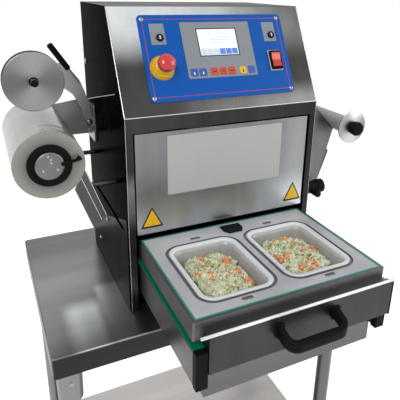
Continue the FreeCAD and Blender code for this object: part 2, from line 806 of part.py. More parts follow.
pieces = {
    "table_top": tableTop, "table_channels": tableChannels, "leg_sockets": legSockets,
    "legs": legs, "feet": feet, "undershelf": undershelf,
    "left_side": leftSide, "right_side": lambda: mirrored(leftSide()), "hood": hood,
    "back_panel": backPanel, "base_plate": basePlate, "front_panel": frontPanel,
    "panel_brackets": panelBrackets, "heating_plate": heatingPlate,
    "press_columns": pressColumns, "press_frame": pressFrame, "drawer_guides": drawerGuides,
    "lower_covers": lowerCovers, "reel_arms": reelArms, "disc_arm": discArm,
    "arm_sleeve": armSleeve, "reel_shafts": reelShafts, "film_chutes": filmChutes,
    "clamp_knob": clampKnob, "cable_gland": cableGland,
    "control_plate": controlPlate, "display_bezel": displayBezel,
    "display_glass": displayGlass, "keypad": keypad, "indicator_lamps": indicatorLamps,
    "stop_base": stopBase, "switch_bezel": switchBezel,
    "drawer_tub": drawerTub, "tray_carrier": trayCarrier, "carrier_seal": carrierSeal,
    "mould_insert": mouldInsert, "sensor_plate": sensorPlate,
    "tray_left": lambda: tray(-1), "tray_right": lambda: tray(1), "food_fill": foodFill,
    "drawer_rails": drawerRails, "glide_strips": glideStrips, "rail_caps": railCaps,
    "apron": apron, "apron_end": apronEnd, "apron_handle": apronHandle,
    "film_roll": filmRoll, "film_core": filmCore, "reel_hub": reelHub, "reel_wing": reelWing,
    "upper_disc": upperDisc, "scrap_spool": scrapSpool, "spool_flange": spoolFlange,
    "spool_knob": spoolKnob, "stop_button": stopButton, "power_rocker": powerRocker,
}


def main():
    os.makedirs("parts", exist_ok=True)
    shapes = {name: make() for name, make in pieces.items()}
    whole = Part.makeCompound(list(shapes.values())).BoundBox
    shift = Vector(-whole.Center.x, -whole.Center.y, tableHeight)
    for name, shape in shapes.items():
        shape = shape.copy()
        shape.translate(shift)
        shape.exportStep("parts/" + name + ".step")
    print("moved by", [round(v, 3) for v in shift])
    print("size", round(whole.XLength, 1), round(whole.YLength, 1), round(whole.ZLength, 1))


main()
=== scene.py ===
import math

import bpy
import numpy as np
from mathutils import Matrix, Vector


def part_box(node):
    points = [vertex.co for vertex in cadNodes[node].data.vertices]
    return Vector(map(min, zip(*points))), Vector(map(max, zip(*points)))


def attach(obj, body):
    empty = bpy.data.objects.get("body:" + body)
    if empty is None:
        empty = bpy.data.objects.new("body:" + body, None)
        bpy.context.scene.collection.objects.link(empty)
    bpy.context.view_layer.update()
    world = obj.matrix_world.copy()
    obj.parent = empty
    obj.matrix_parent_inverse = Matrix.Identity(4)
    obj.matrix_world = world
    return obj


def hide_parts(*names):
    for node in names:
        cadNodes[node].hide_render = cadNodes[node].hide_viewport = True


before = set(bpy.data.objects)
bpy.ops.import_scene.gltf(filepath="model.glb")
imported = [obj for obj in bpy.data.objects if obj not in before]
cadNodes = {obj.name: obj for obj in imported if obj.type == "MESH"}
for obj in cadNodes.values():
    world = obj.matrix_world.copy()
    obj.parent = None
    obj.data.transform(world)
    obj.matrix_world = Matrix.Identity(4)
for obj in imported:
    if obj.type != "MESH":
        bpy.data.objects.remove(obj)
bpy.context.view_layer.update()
scene = bpy.context.scene
scene.view_settings.view_transform = "Standard"
print("frame loaded:", len(cadNodes), "nodes")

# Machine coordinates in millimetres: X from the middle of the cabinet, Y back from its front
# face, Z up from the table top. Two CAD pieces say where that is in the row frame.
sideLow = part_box("left_side")[0]
panelLow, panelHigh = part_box("front_panel")
machine = {
    "zero": np.array([(panelLow.x + panelHigh.x) / 2, sideLow.y, sideLow.z]),
    "halfWidth": 250.0,
    "slopeFoot": 488.0,
    "slopeAngle": math.atan2(225.0, 121.0),
}


def toRow(points):
    return machine["zero"] + np.asarray(points, float) / 1000.0


def faceAxes():
    # across, up the slope and out of it
    a = machine["slopeAngle"]
    return (np.array([1.0, 0, 0]), np.array([0, math.cos(a), math.sin(a)]),
            np.array([0, -math.sin(a), math.cos(a)]))


def onFace(across, up, out):
    # points of the control face, in machine millimetres
    ex, ey, ez = faceAxes()
    across, up, out = np.broadcast_arrays(across, up, out)
    start = np.array([0, 0, machine["slopeFoot"]])
    return start + across[..., None] * ex + up[..., None] * ey + out[..., None] * ez


# ---- shader expressions

class Value:
    # wraps a number socket, so that sums and products of masks add Math nodes
    def __init__(self, paint, socket):
        self.paint, self.socket = paint, socket

    def math(self, operation, *others):
        sockets = {0: self.socket}
        for i, other in enumerate(others):
            sockets[i + 1] = other
        return self.paint.value("ShaderNodeMath", {"operation": operation}, sockets)

    def flipped(self, operation, other):
        return self.paint.value("ShaderNodeMath", {"operation": operation},
                                {0: other, 1: self.socket})

    def __add__(self, other):
        return self.math("ADD", other)

    def __radd__(self, other):
        return self.math("ADD", other)

    def __sub__(self, other):
        return self.math("SUBTRACT", other)

    def __rsub__(self, other):
        return self.flipped("SUBTRACT", other)

    def __mul__(self, other):
        return self.math("MULTIPLY", other)

    def __rmul__(self, other):
        return self.math("MULTIPLY", other)

    def __truediv__(self, other):
        return self.math("DIVIDE", other)

    def sine(self):
        return self.math("SINE")

    def root(self):
        return self.math("SQRT")

    def between(self, low, high):
        # 0 below low, 1 above high, smooth in between
        return self.paint.value("ShaderNodeMapRange", {"interpolation_type": "SMOOTHSTEP"},
                                {"Value": self, "From Min": low, "From Max": high})


class Graph:
    # adds nodes and links to one node tree
    def __init__(self, tree):
        self.nodes, self.links = tree.nodes, tree.links

    def node(self, kind, settings, sockets):
        made = self.nodes.new(kind)
        for key, setting in settings.items():
            if key == "stops":
                ramp = made.color_ramp
                ramp.interpolation = settings.get("ease", "LINEAR")
                while len(ramp.elements) < len(setting):
                    ramp.elements.new(1.0)
                for stop, (position, color) in zip(ramp.elements, setting):
                    stop.position, stop.color = position, (*color, 1)
            elif key != "ease":
                setattr(made, key, setting)
        for key, given in sockets.items():
            given = given.socket if isinstance(given, Value) else given
            if isinstance(given, bpy.types.NodeSocket):
                self.links.new(given, made.inputs[key])
            else:
                made.inputs[key].default_value = given
        return made

    def value(self, kind, settings, sockets):
        return Value(self, self.node(kind, settings, sockets).outputs[0])

    def looked(self):
        # 1 where the camera, metal or clear plastic looks, 0 where light only bounces
        rays = self.node("ShaderNodeLightPath", {}, {})
        seen = Value(self, rays.outputs["Is Camera Ray"])
        for kind in ("Is Glossy Ray", "Is Transmission Ray"):
            seen = seen.math("MAXIMUM", rays.outputs[kind])
        return seen


class Paint(Graph):
    # one procedural material around a Principled shader
    def __init__(self, name, color, roughness, **constants):
        material = bpy.data.materials.new(name)
        material.use_nodes = True
        super().__init__(material.node_tree)
        self.shader = self.nodes["Principled BSDF"]
        self.shader.inputs["Base Color"].default_value = (*color, 1)
        self.shader.inputs["Roughness"].default_value = roughness
        for key, number in constants.items():
            socket = {"metallic": "Metallic", "coat": "Coat Weight", "alpha": "Alpha",
                      "coatRoughness": "Coat Roughness", "specular": "Specular IOR Level",
                      "glow": "Emission Strength", "sheen": "Sheen Weight"}[key]
            self.shader.inputs[socket].default_value = number
        coordinates = self.node("ShaderNodeTexCoord", {}, {})
        self.place = coordinates.outputs["Object"]
        parts = self.node("ShaderNodeSeparateXYZ", {}, {0: self.place})
        self.x, self.y, self.z = (Value(self, parts.outputs[i]) for i in range(3))

    def noise(self, size, stretch=(1, 1, 1), detail=2.0):
        # size is the noise scale per metre, stretched along the three axes
        mapped = self.node("ShaderNodeMapping", {}, {0: self.place, "Scale": stretch})
        made = self.node("ShaderNodeTexNoise", {}, {"Vector": mapped.outputs[0], "Scale": size,
                                                    "Detail": detail})
        return Value(self, made.outputs["Fac"])

    def mix(self, factor, first, second, blend="MIX"):
        def given(color):
            return (*color, 1) if isinstance(color, tuple) else color
        made = self.node("ShaderNodeMix", {"data_type": "RGBA", "blend_type": blend},
                         {0: factor, 6: given(first), 7: given(second)})
        return made.outputs[2]

    def along(self, axis, low, high):
        # smooth 0 to 1 between two places on a machine axis, in millimetres
        value = {"x": self.x, "y": self.y, "z": self.z}[axis]
        zero = machine["zero"]["xyz".index(axis)]
        return value.between(zero + low / 1000, zero + high / 1000)

    def tinted(self, tone):
        # steel greys: a little warm when dark, a little blue when bright
        return self.ramp(tone, [(0.0, (0, 0, 0)), (0.12, (0.123, 0.119, 0.117)),
                                (0.45, (0.435, 0.452, 0.465)), (1.0, (0.94, 0.985, 1.0))])

    def ramp(self, factor, stops, ease="LINEAR"):
        return self.node("ShaderNodeValToRGB", {"ease": ease, "stops": stops},
                         {0: factor}).outputs[0]

    def color(self, socket):
        self.links.new(socket, self.shader.inputs["Base Color"])

    def rough(self, value):
        self.links.new(value.socket, self.shader.inputs["Roughness"])

    def see(self, value):
        self.links.new(value.socket, self.shader.inputs["Alpha"])

    def lit(self, socket, strength):
        self.links.new(socket, self.shader.inputs["Emission Color"])
        self.shader.inputs["Emission Strength"].default_value = strength

    def bump(self, height, strength, distance):
        made = self.node("ShaderNodeBump", {}, {"Strength": strength, "Distance": distance,
                                                "Height": height})
        self.links.new(made.outputs["Normal"], self.shader.inputs["Normal"])


def scaled(color, by):
    return tuple(min(1.0, c * by) for c in color)


def steel(name, color, roughness, grain, reflectionCloud=0.25, depth=0.00003, tones=None, edge=1.0):
    # brushed sheet: fine streaks along the grain, with painted reflections laid over it as slow
    # clouds and a soft smear of tone; tones paints the room's reflections and shade into the
    # colour from the place on the sheet, edge is its brightness at a grazing view
    fine = {"x": (3, 260, 260), "y": (260, 3, 260), "z": (260, 260, 3)}[grain]
    wide = {"x": (0.5, 9, 9), "y": (9, 0.5, 9), "z": (9, 9, 0.5)}[grain]
    paint = Paint(name, color, roughness, metallic=1.0)
    paint.shader.inputs["Specular Tint"].default_value = (edge, edge, edge, 1)
    streak = paint.noise(4.0, fine, 4.0)
    reflectionBand = paint.noise(1.6, wide, 2.0)
    smearAndReflection = paint.noise(5.5)
    # the clouds and the smear are painted reflections; the streaks are the grain
    tone = streak * 0.22 + reflectionBand * reflectionCloud * 1.6 + smearAndReflection * reflectionCloud * 1.2
    middle = 0.11 + reflectionCloud * 1.4
    factor = (tone - (middle - 0.28)) / 0.56
    shade = paint.mix(factor.between(0, 1), (0.70, 0.70, 0.70), (1.24, 1.24, 1.24))
    base = paint.tinted(tones(paint)) if tones else color
    paint.color(paint.mix(1.0, shade, base, "MULTIPLY"))
    paint.rough(streak * 0.10 + smearAndReflection * 0.12 + (roughness - 0.10))
    paint.bump(streak, 0.5, depth)


def plastic(name, color, roughness, grain=900.0, depth=0.00006, spread=0.12, **constants):
    # moulded plastic: a fine spark texture and slightly uneven colour
    paint = Paint(name, color, roughness, **constants)
    spark = paint.noise(grain)
    patch = paint.noise(14.0)
    paint.color(paint.mix(patch, scaled(color, 1 - spread), scaled(color, 1 + spread)))
    paint.rough(spark * 0.12 + patch * 0.10 + (roughness - 0.10))
    paint.bump(spark, 0.25, depth)


def turned(name, color, roughness, centre, pitch=0.0006, sheen=0.0):
    # turned metal: fine rings round an axis along Y through a point in machine millimetres,
    # with a painted sheen, a highlight painted brightest in two opposite sectors
    paint = Paint(name, color, roughness, metallic=1.0)
    c = toRow(centre)
    first, second = paint.x - c[0], paint.z - c[2]
    square = first * first + second * second + 1e-7
    radius = square.root()
    sector = (second * second - first * first) / square
    rings = (radius * (2 * math.pi / pitch)).sine()
    slow = (radius * 900.0).sine() * 0.5 + 0.5
    patch = paint.noise(30.0)
    shade = slow * 0.08 + patch * 0.4 + sector * sheen + 0.25
    paint.color(paint.mix(shade.between(-0.2, 1.1), scaled(color, 0.70), scaled(color, 1.45)))
    paint.rough(patch * 0.10 + (roughness - 0.05))
    paint.bump(rings, 0.6, 0.00004)


# ---- surfaces worked out as whole arrays

def addPiece(name, body, shell, material, smooth=35.0, replaces=None, solid=0.0):
    # shell is one pair of points and faces, or a list of such pairs
    vertices, faces = merged(shell) if isinstance(shell, list) else shell
    mesh = bpy.data.meshes.new(name)
    mesh.from_pydata(toRow(vertices).tolist(), [], faces)
    mesh.validate()
    mesh.materials.append(bpy.data.materials[material])
    piece = bpy.data.objects.new(name, mesh)
    scene.collection.objects.link(piece)
    mesh.polygons.foreach_set("use_smooth", np.ones(len(mesh.polygons), bool))
    if smooth < 180:
        mesh.set_sharp_from_angle(angle=math.radians(smooth))
    if solid:
        thick = piece.modifiers.new("wall", "SOLIDIFY")
        thick.thickness, thick.offset = solid / 1000.0, -1.0
    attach(piece, body)
    if replaces:
        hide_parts(replaces)


def gridFaces(rows, columns, closedRows=False, closedColumns=True, base=0):
    # quads of a rows x columns grid, numbered row by row
    i = np.arange(rows if closedRows else rows - 1)[:, None]
    j = np.arange(columns if closedColumns else columns - 1)[None, :]
    a = i * columns + j
    b = i * columns + (j + 1) % columns
    c = ((i + 1) % rows) * columns + (j + 1) % columns
    d = ((i + 1) % rows) * columns + j
    return (np.stack([a, b, c, d], -1).reshape(-1, 4) + base).tolist()


def tube(points, closedRows=False):
    # points[row, column, 3] with closed columns, as a closed shell turned the right way out:
    # flat caps on the first and last row, and a signed volume above zero
    rows, columns = points.shape[:2]
    faces = gridFaces(rows, columns, closedRows)
    if not closedRows:
        faces.append(list(range(columns))[::-1])
        faces.append(list(range((rows - 1) * columns, rows * columns)))
    points = points.reshape(-1, 3)
    volume = 0.0
    for side in (3, 4):
        some = np.array([f for f in faces if len(f) == side]).reshape(-1, side).astype(int)
        for k in range(1, side - 1):
            a, b, c = points[some[:, 0]], points[some[:, k]], points[some[:, k + 1]]
            volume += np.einsum("ij,ij->", a, np.cross(b, c))
    return points, faces if volume > 0 else [f[::-1] for f in faces]


def circle(count, power=1.0):
    # unit ring of points, squarer for a power below one
    turn = np.linspace(0, 2 * math.pi, count, endpoint=False)
    return np.stack([np.sign(f) * np.abs(f) ** power for f in (np.cos(turn), np.sin(turn))], -1)


def lathe(centre, profile, steps=96, axis=(0, 1, 0)):
    # a profile of (radius, height) pairs turned once round the axis through centre
    axis = np.asarray(axis, float) / np.linalg.norm(axis)
    side = np.cross(axis, [0.31, 0.17, 0.93])
    side /= np.linalg.norm(side)
    other = np.cross(axis, side)
    ring = circle(steps) @ np.stack([side, other])
    profile = np.asarray(profile, float)
    closed = np.allclose(profile[0], profile[-1])
    if closed:
        profile = profile[:-1]
    points = (np.asarray(centre, float) + profile[:, 0, None, None] * ring
              + profile[:, 1, None, None] * axis)
    return tube(points, closed)


def roundedLoop(halfX, halfY, radius, perCorner=8, perSide=1):
    # a rounded rectangle as one closed line, anticlockwise; radius as one number
    corner = np.linspace(0, math.pi / 2, perCorner + 1)
    parts = []
    for k, (sx, sy) in enumerate(((1, 1), (-1, 1), (-1, -1), (1, -1))):
        angle = corner + k * math.pi / 2
        arc = np.stack([sx * (halfX - radius) + radius * np.cos(angle),
                        sy * (halfY - radius) + radius * np.sin(angle)], -1)
        parts.append(arc)
    loop = []
    for k in range(4):
        arc, after = parts[k], parts[(k + 1) % 4]
        share = np.linspace(0, 1, perSide + 1, endpoint=False)[1:, None]
        loop += [arc, arc[-1] * (1 - share) + after[0] * share]
    return np.concatenate(loop)


def slab(outlines, heights, place, closedRows=False):
    # closed rings of one plan at growing heights, placed by a function of (x, y, height)
    rings = np.stack([place(o[:, 0], o[:, 1], np.full(len(o), h))
                      for o, h in zip(outlines, heights)])
    return tube(rings, closedRows)


def roundedPlate(middle, half, radius, low, high, place, edge=0.3):
    # a thin plate with a small chamfer, lying on a face that the place function describes
    def ring(inset):
        loop = roundedLoop(half[0] - inset, half[1] - inset, max(radius - inset, 0.05))
        return loop + np.asarray(middle, float)
    return slab([ring(0), ring(0), ring(edge)], [low, high - edge, high], place)


def merged(parts):
    # several shells as one list of points and faces
    points, faces, base = [], [], 0
    for flat, some in parts:
        points.append(flat)
        faces += [[i + base for i in f] for f in some]
        base += len(flat)
    return np.concatenate(points), faces


def sweep(path, section, up=(0, 0, 1)):
    # a closed section of (side, up) pairs carried along a path, turned with the path
    path = np.asarray(path, float)
    ahead = np.gradient(path, axis=0)
    ahead /= np.linalg.norm(ahead, axis=1)[:, None]
    side = np.cross(ahead, np.asarray(up, float))
    side /= np.linalg.norm(side, axis=1)[:, None]
    lift = np.cross(side, ahead)
    section = np.asarray(section, float)
    points = (path[:, None] + side[:, None] * section[None, :, :1]
              + lift[:, None] * section[None, :, 1:])
    return tube(points)


def extruded(outline, planes):
    # an (x, z) outline carried through planes along y
    outline = np.asarray(outline, float)
    return tube(np.stack([np.column_stack([outline[:, 0], np.full(len(outline), y),
                                           outline[:, 1]]) for y in planes]))


def bead(start, end, radius, up, sides=12, stops=6):
    # a slim round rod between two points
    share = np.linspace(0, 1, stops)[:, None]
    path = np.asarray(start, float) * (1 - share) + np.asarray(end, float) * share
    return sweep(path, circle(sides) * radius, up)


def repeated(shell, places):
    # copies of one shell at many places, as one array
    flat, faces = shell
    places = np.asarray(places, float)
    points = (places[:, None] + flat[None]).reshape(-1, 3)
    all_ = [[i + k * len(flat) for i in f] for k in range(len(places)) for f in faces]
    return points, all_


def frontPlace(y):
    # x stays, the second value is the height, the third stands out towards the front
    return lambda a, b, c: np.stack([a, y - c, b], -1)


# ---- tones of the large sheets: painted reflections and shade of the room as it shows in them

def hoodTones(paint):
    # painted reflections: a dark beam; the slope has a painted bright reflection along its top
    # left, a painted glow low on its right half, and is painted a little darker to the right
    slope = paint.along("z", 487.4, 489.4) * (1 - paint.along("z", 711.0, 713.0))
    reflectionBand = paint.along("z", 583, 668) * (0.76 - paint.along("x", -260, 270) * 0.66)
    glow = (1 - paint.along("z", 494, 545)) * paint.along("x", -150, -20) * 0.13
    right = paint.along("x", 60, 240) * 0.022
    return slope * (reflectionBand + glow + 0.012 - right) + 0.047


def sideTones(paint):
    # nearly black walls; the left post has a painted reflection, a light patch at half height
    face = 1 - paint.along("y", 0.6, 2.4)
    patch = paint.along("z", 215, 290) * (1 - paint.along("z", 315, 370))
    left = 1 - paint.along("x", -100, 100)
    return face * (patch * left * 0.20 - 0.004) + 0.044


def panelTones(paint):
    # painted reflections: lighter low down and towards the right
    low = 1 - paint.along("z", 216, 320)
    return 0.225 + low * 0.34 + paint.along("x", 110, 225) * 0.13


def tableTones(paint):
    # painted reflections: lighter to the front, a painted bright strip left of the drawer and a
    # painted lighter area right of it towards the front; the front edge is painted nearly black,
    # lighter at its left end
    top = paint.along("z", -4.5, -1.0)
    back = 1 - paint.along("y", 130, 460)
    front = 1 - paint.along("y", 50, 110)
    strip = paint.along("x", -415, -370) - paint.along("x", -335, -300)
    side = 1 - paint.along("x", -452.6, -449)
    near = paint.along("x", -320, -300) * (1 - paint.along("y", 120, 170))
    light = back * 0.05 + front * strip * 0.42 + near * 0.28 + 0.14
    return top * light + (1 - top) * (0.035 + side * 0.16)


def apronTones(paint):
    # dark face with a painted highlight along the rolled edge at its top
    return 0.052 + paint.along("z", 164.6, 166.2) * 0.75


def legTones(paint):
    # painted shade: the legs further to the right are darker
    return 0.24 - paint.along("x", -100, 200) * 0.09


def coverTones(paint):
    # painted reflection: lighter low down, towards the table
    return 0.062 + (1 - paint.along("z", 0, 90)) * 0.045


# ---- materials of the CAD nodes
print("materials")
dark, mid = (0.16, 0.158, 0.156), (0.21, 0.208, 0.206)
steel("tableSteel", mid, 0.30, "x", reflectionCloud=0.24, tones=tableTones, edge=0.75)
steel("tableUnder", dark, 0.35, "x")
steel("legSteel", mid, 0.34, "z", reflectionCloud=0.18, tones=legTones)
steel("shelfSteel", (0.41, 0.395, 0.385), 0.42, "x", reflectionCloud=0.14)
steel("sideSteel", dark, 0.27, "z", reflectionCloud=0.42, tones=sideTones, edge=0.24)
steel("coverSteel", dark, 0.30, "z", reflectionCloud=0.30, tones=coverTones, edge=0.5)
steel("hoodSteel", mid, 0.27, "z", reflectionCloud=0.34, tones=hoodTones, edge=0.3)
steel("panelSteel", mid, 0.33, "z", reflectionCloud=0.24, tones=panelTones)
steel("armSteel", (0.42, 0.418, 0.415), 0.34, "x", reflectionCloud=0.3)
steel("chuteSteel", (0.10, 0.098, 0.098), 0.30, "z", reflectionCloud=0.4, edge=0.3)
steel("railSteel", (0.135, 0.125, 0.125), 0.33, "y", reflectionCloud=0.25)
steel("apronSteel", dark, 0.33, "z", reflectionCloud=0.35, tones=apronTones)
steel("tubSteel", (0.145, 0.142, 0.14), 0.36, "x", reflectionCloud=0.25)
steel("toolMetal", (0.145, 0.138, 0.136), 0.38, "x", reflectionCloud=0.2)
steel("shaftSteel", (0.38, 0.38, 0.38), 0.22, "y", reflectionCloud=0.2)
steel("cheekSteel", (0.17, 0.168, 0.168), 0.34, "z", reflectionCloud=0.5)
# bright steel for slim beads that are painted highlights along the bends
steel("foldBright", (0.62, 0.62, 0.61), 0.22, "x", reflectionCloud=0.12)


def rockerPaint():
    # red with a lit middle, black on its lower end
    paint = Paint("rockerRed", (0.72, 0.03, 0.012), 0.24, coat=0.4)
    spark = paint.noise(900.0)
    lit = paint.along("z", 588, 594) * (1 - paint.along("z", 601, 606))
    red = paint.mix(lit, (0.60, 0.02, 0.012), (0.95, 0.13, 0.05))
    paint.color(paint.mix(paint.along("z", 574, 577), (0.012, 0.012, 0.012), red))
    paint.rough(spark * 0.1 + 0.2)
    paint.bump(spark, 0.2, 0.00005)


plastic("blackPlastic", (0.006, 0.006, 0.0065), 0.50, specular=0.06)
plastic("footPlastic", (0.22, 0.225, 0.23), 0.50)
plastic("bluePaint", (0.003, 0.098, 0.44), 0.44, spread=0.05, specular=0.18)
plastic("greyPrint", (0.275, 0.30, 0.32), 0.44, spread=0.05, specular=0.2)
plastic("yellowPlastic", (0.80, 0.50, 0.010), 0.28, coat=0.4)
plastic("redPlastic", (0.68, 0.012, 0.016), 0.20, coat=0.7)
plastic("greenGlide", (0.001, 0.19, 0.092), 0.44, specular=0.2)
plastic("sealTeal", (0.03, 0.33, 0.26), 0.38, spread=0.25, specular=0.3)
plastic("signWhite", (0.50, 0.50, 0.495), 0.42, spread=0.05)
plastic("whitePrint", (0.85, 0.85, 0.85), 0.42, spread=0.02)
plastic("redPrint", (0.46, 0.06, 0.085), 0.40, spread=0.05, specular=0.2)
plastic("warnYellow", (0.83, 0.50, 0.004), 0.36, spread=0.04)
# black print, and black painted as shade in slots, sockets and holes
plastic("blackPrint", (0.012, 0.012, 0.012), 0.40)
plastic("framePale", (0.50, 0.50, 0.50), 0.40)
plastic("tubePale", (0.40, 0.40, 0.41), 0.45, grain=220.0, spread=0.25)


def insertPaint():
    # coated plate, pale lilac grey, with faint hand marks
    paint = Paint("insertPlate", (0.56, 0.56, 0.59), 0.36, specular=0.5)
    marks = paint.noise(9.0, (1, 1.6, 1), 3.0)
    spark = paint.noise(700.0)
    shown = paint.mix(marks.between(0.35, 0.7), (0.46, 0.465, 0.485), (0.56, 0.555, 0.59))
    # painted shade: the faces below the plate's top, in its holes, groove and sides, are dark
    paint.color(paint.mix(paint.along("z", 189.2, 189.9), (0.17, 0.17, 0.18), shown))
    paint.rough(marks * 0.22 + 0.22)
    paint.bump(spark, 0.2, 0.00005)


def keyPaint():
    # seven keys told apart by their place across the face
    keys = {"colors": [(0.012, 0.09, 0.42)] * 2 + [(0.60, 0.055, 0.02)] * 3
            + [(0.80, 0.48, 0.02), (0.012, 0.10, 0.50)],
            "edges": [-60.0, -34.0, -8.0, 14.5, 41.0, 67.5]}
    paint = Paint("keyPrint", keys["colors"][0], 0.34, coat=0.2)
    left, right = toRow((-85, 0, 0))[0], toRow((95, 0, 0))[0]
    stops = [(0.0, keys["colors"][0])]
    stops += [((e + 85) / 180, c) for e, c in zip(keys["edges"], keys["colors"][1:])]
    share = (paint.x - left) / (right - left)
    spark = paint.noise(800.0)
    paint.color(paint.ramp(share, stops, "CONSTANT"))
    paint.rough(spark * 0.1 + 0.3)
    paint.bump(spark, 0.2, 0.00004)


def displayPaint():
    # lit screen, a little bluer towards its lower edge
    paint = Paint("displayLit", (0.75, 0.80, 0.85), 0.12, coat=0.5)
    low = toRow(onFace(0.0, 132.0, 0.0))[2]
    height = toRow(onFace(0.0, 196.0, 0.0))[2] - low
    share = (paint.z - low) / height
    fine = (paint.x * 6000.0).sine() * 0.5 + 0.5
    tint = paint.ramp(share, [(0.0, (0.62, 0.72, 0.84)), (0.35, (0.82, 0.87, 0.93)),
                              (1.0, (0.92, 0.94, 0.97))])
    shown = paint.mix(fine * 0.06, tint, (0.6, 0.65, 0.75))
    paint.color(shown)
    paint.lit(shown, 0.35)


rockerPaint()
insertPaint()
keyPaint()
displayPaint()
nodePaints = {
    "tableSteel": "table_top",
    "tableUnder": "table_channels",
    "legSteel": "leg_sockets legs",
    "footPlastic": "feet",
    "shelfSteel": "undershelf",
    "sideSteel": "left_side right_side back_panel base_plate",
    "hoodSteel": "hood",
    "panelSteel": "front_panel",
    "toolMetal": "panel_brackets heating_plate press_frame drawer_guides tray_carrier",
    "shaftSteel": "press_columns reel_shafts",
    "coverSteel": "lower_covers",
    "armSteel": "reel_arms disc_arm",
    "blackPlastic": "arm_sleeve clamp_knob cable_gland indicator_lamps switch_bezel "
                    "sensor_plate rail_caps apron_end",
    "chuteSteel": "film_chutes",
    "bluePaint": "control_plate",
    "greyPrint": "display_bezel",
    "yellowPlastic": "stop_base",
    "tubSteel": "drawer_tub",
    "sealTeal": "carrier_seal",
    "railSteel": "drawer_rails",
    "greenGlide": "glide_strips",
    "apronSteel": "apron",
    "rockerRed": "power_rocker",
    "insertPlate": "mould_insert",
    "keyPrint": "keypad",
    "displayLit": "display_glass",
}
for paintName, nodeNames in nodePaints.items():
    for node in nodeNames.split():
        mesh = cadNodes[node].data
        mesh.materials.clear()
        mesh.materials.append(bpy.data.materials[paintName])


# ---- control face
faceDetails = {
    "lineInset": 10.0, "lineWidth": 1.4, "left": -185.0, "right": 190.0, "low": 29.0,
    "high": 233.0, "plate": 2.0, "labels": ((-142.5, 187.0), (149.5, 187.0)),
    "labelHalf": (17.5, 25.0), "lamps": ((-139.0, 178.0), (153.0, 178.0)),
    "screws": ((-175, 223), (179, 223), (181, 39), (-176, 39)),
    "screen": (-46.0, 54.0, 132.0, 196.0), "switch": (151.0, 112.0),
}


def controlFace():
    d = faceDetails
    place = onFace
    # the red line: a thin flat ribbon between two rounded rectangles
    middle = np.array([(d["left"] + d["right"]) / 2, (d["low"] + d["high"]) / 2])
    half = np.array([(d["right"] - d["left"]) / 2, (d["high"] - d["low"]) / 2]) - d["lineInset"]
    outer = roundedLoop(half[0], half[1], 9) + middle
    inner = roundedLoop(half[0] - d["lineWidth"], half[1] - d["lineWidth"], 7.5) + middle
    out = d["plate"]
    under = out - 0.2
    addPiece("faceLine", "root", slab([outer, outer, inner, inner],
                                      [under, out + 0.15, out + 0.15, under], place, True),
             "redPrint")
    # grey label plates round the two lamps, each with its mark
    plates = [roundedPlate(m, d["labelHalf"], 1.0, out - 0.2, out + 0.5, place)
              for m in d["labels"]]
    addPiece("faceLabels", "root", plates, "greyPrint")
    ez = faceAxes()[2]
    discs, marks = [], []
    for x, up in d["lamps"]:
        centre = onFace(x, up, out)
        discs.append(lathe(centre, [(0, 2), (5.6, 2), (5.6, 4.3), (5.0, 4.7), (0, 4.9)], 32, ez))
        marks.append(roundedPlate((x, up), (1.3, 4.2), 0.8, out + 4.4, out + 5.3, place, 0.2))
    addPiece("lampDiscs", "root", discs, "blackPrint")
    addPiece("lampMarks", "root", marks, "whitePrint")
    # four dome screws, each with a slot painted black as shade
    domes, slots = [], []
    for x, up in d["screws"]:
        centre = onFace(x, up, out)
        domes.append(lathe(centre, [(0, -0.5), (5.0, -0.5), (5.0, 0.5), (4.4, 1.3), (2.8, 2.0),
                                    (0, 2.3)], 28, ez))
        slots.append(roundedPlate((x, up), (0.6, 3.2), 0.3, out + 1.6, out + 2.35, place, 0.1))
    addPiece("faceScrews", "root", domes, "shaftSteel")
    addPiece("screwSlots", "root", slots, "blackPrint")
    # plain screen page: a row of cells along the bottom and a few plain bars
    x0, x1, low, high = d["screen"]
    cell = (x1 - x0 - 4) / 6
    pale, deep = [], []
    for i in range(6):
        shell = roundedPlate((x0 + 2 + cell * (i + 0.5), low + 9), (cell / 2 - 0.7, 7.0), 0.6,
                             out + 0.6, out + 0.95, place, 0.1)
        (pale if i < 3 else deep).append(shell)
    bars = [roundedPlate((x0 + 58, high - 12 - 7 * i), (30 - 5 * (i % 2), 1.1), 0.5, out + 0.6,
                         out + 0.95, place, 0.1) for i in range(4)]
    addPiece("screenCells", "root", deep, "screenBlue")
    addPiece("screenPale", "root", pale + bars, "screenPale")
    wide, tall = (x1 - x0) / 2 + 2.2, (high - low) / 2
    across, up = (x0 + x1) / 2, (low + high) / 2
    rim = [roundedPlate(middle, half, 0.4, out + 0.9, out + 1.9, place) for middle, half in
           (((across, low - 1.2), (wide, 1.1)), ((across, high + 1.2), (wide, 1.1)),
            ((x0 - 1.2, up), (1.1, tall)), ((x1 + 1.2, up), (1.1, tall)))]
    addPiece("screenRim", "root", rim, "blackPrint")
    # small plain marks on the first six keys
    low = out + 2.1
    upright, flat = ((1.6, 3.4), 1.0, 90.0), ((4.2, 1.1), 0.8, 92.0)
    keyMarks = [roundedPlate((x, up), half, radius, low, low + 0.3, place, 0.1)
                for x, (half, radius, up) in zip((-71.0, -49.0, -20.0, 3.0, 26.0, 56.0),
                                                 [upright] * 2 + [flat] * 3 + [upright])]
    addPiece("keyMarks", "root", keyMarks[:2], "whitePrint")
    addPiece("keyMarksDark", "root", keyMarks[2:], "blackPrint")
    # pale frame round the rocker switch
    sx, sy = d["switch"]
    frameOuter = roundedLoop(17.5, 26.0, 2.0) + np.array([sx, sy])
    frameInner = roundedLoop(15.2, 23.2, 1.2) + np.array([sx, sy])
    addPiece("switchFrame", "root", slab([frameOuter, frameOuter, frameInner, frameInner],
                                         [under, out + 1.4, out + 1.6, under], place, True),
             "framePale")


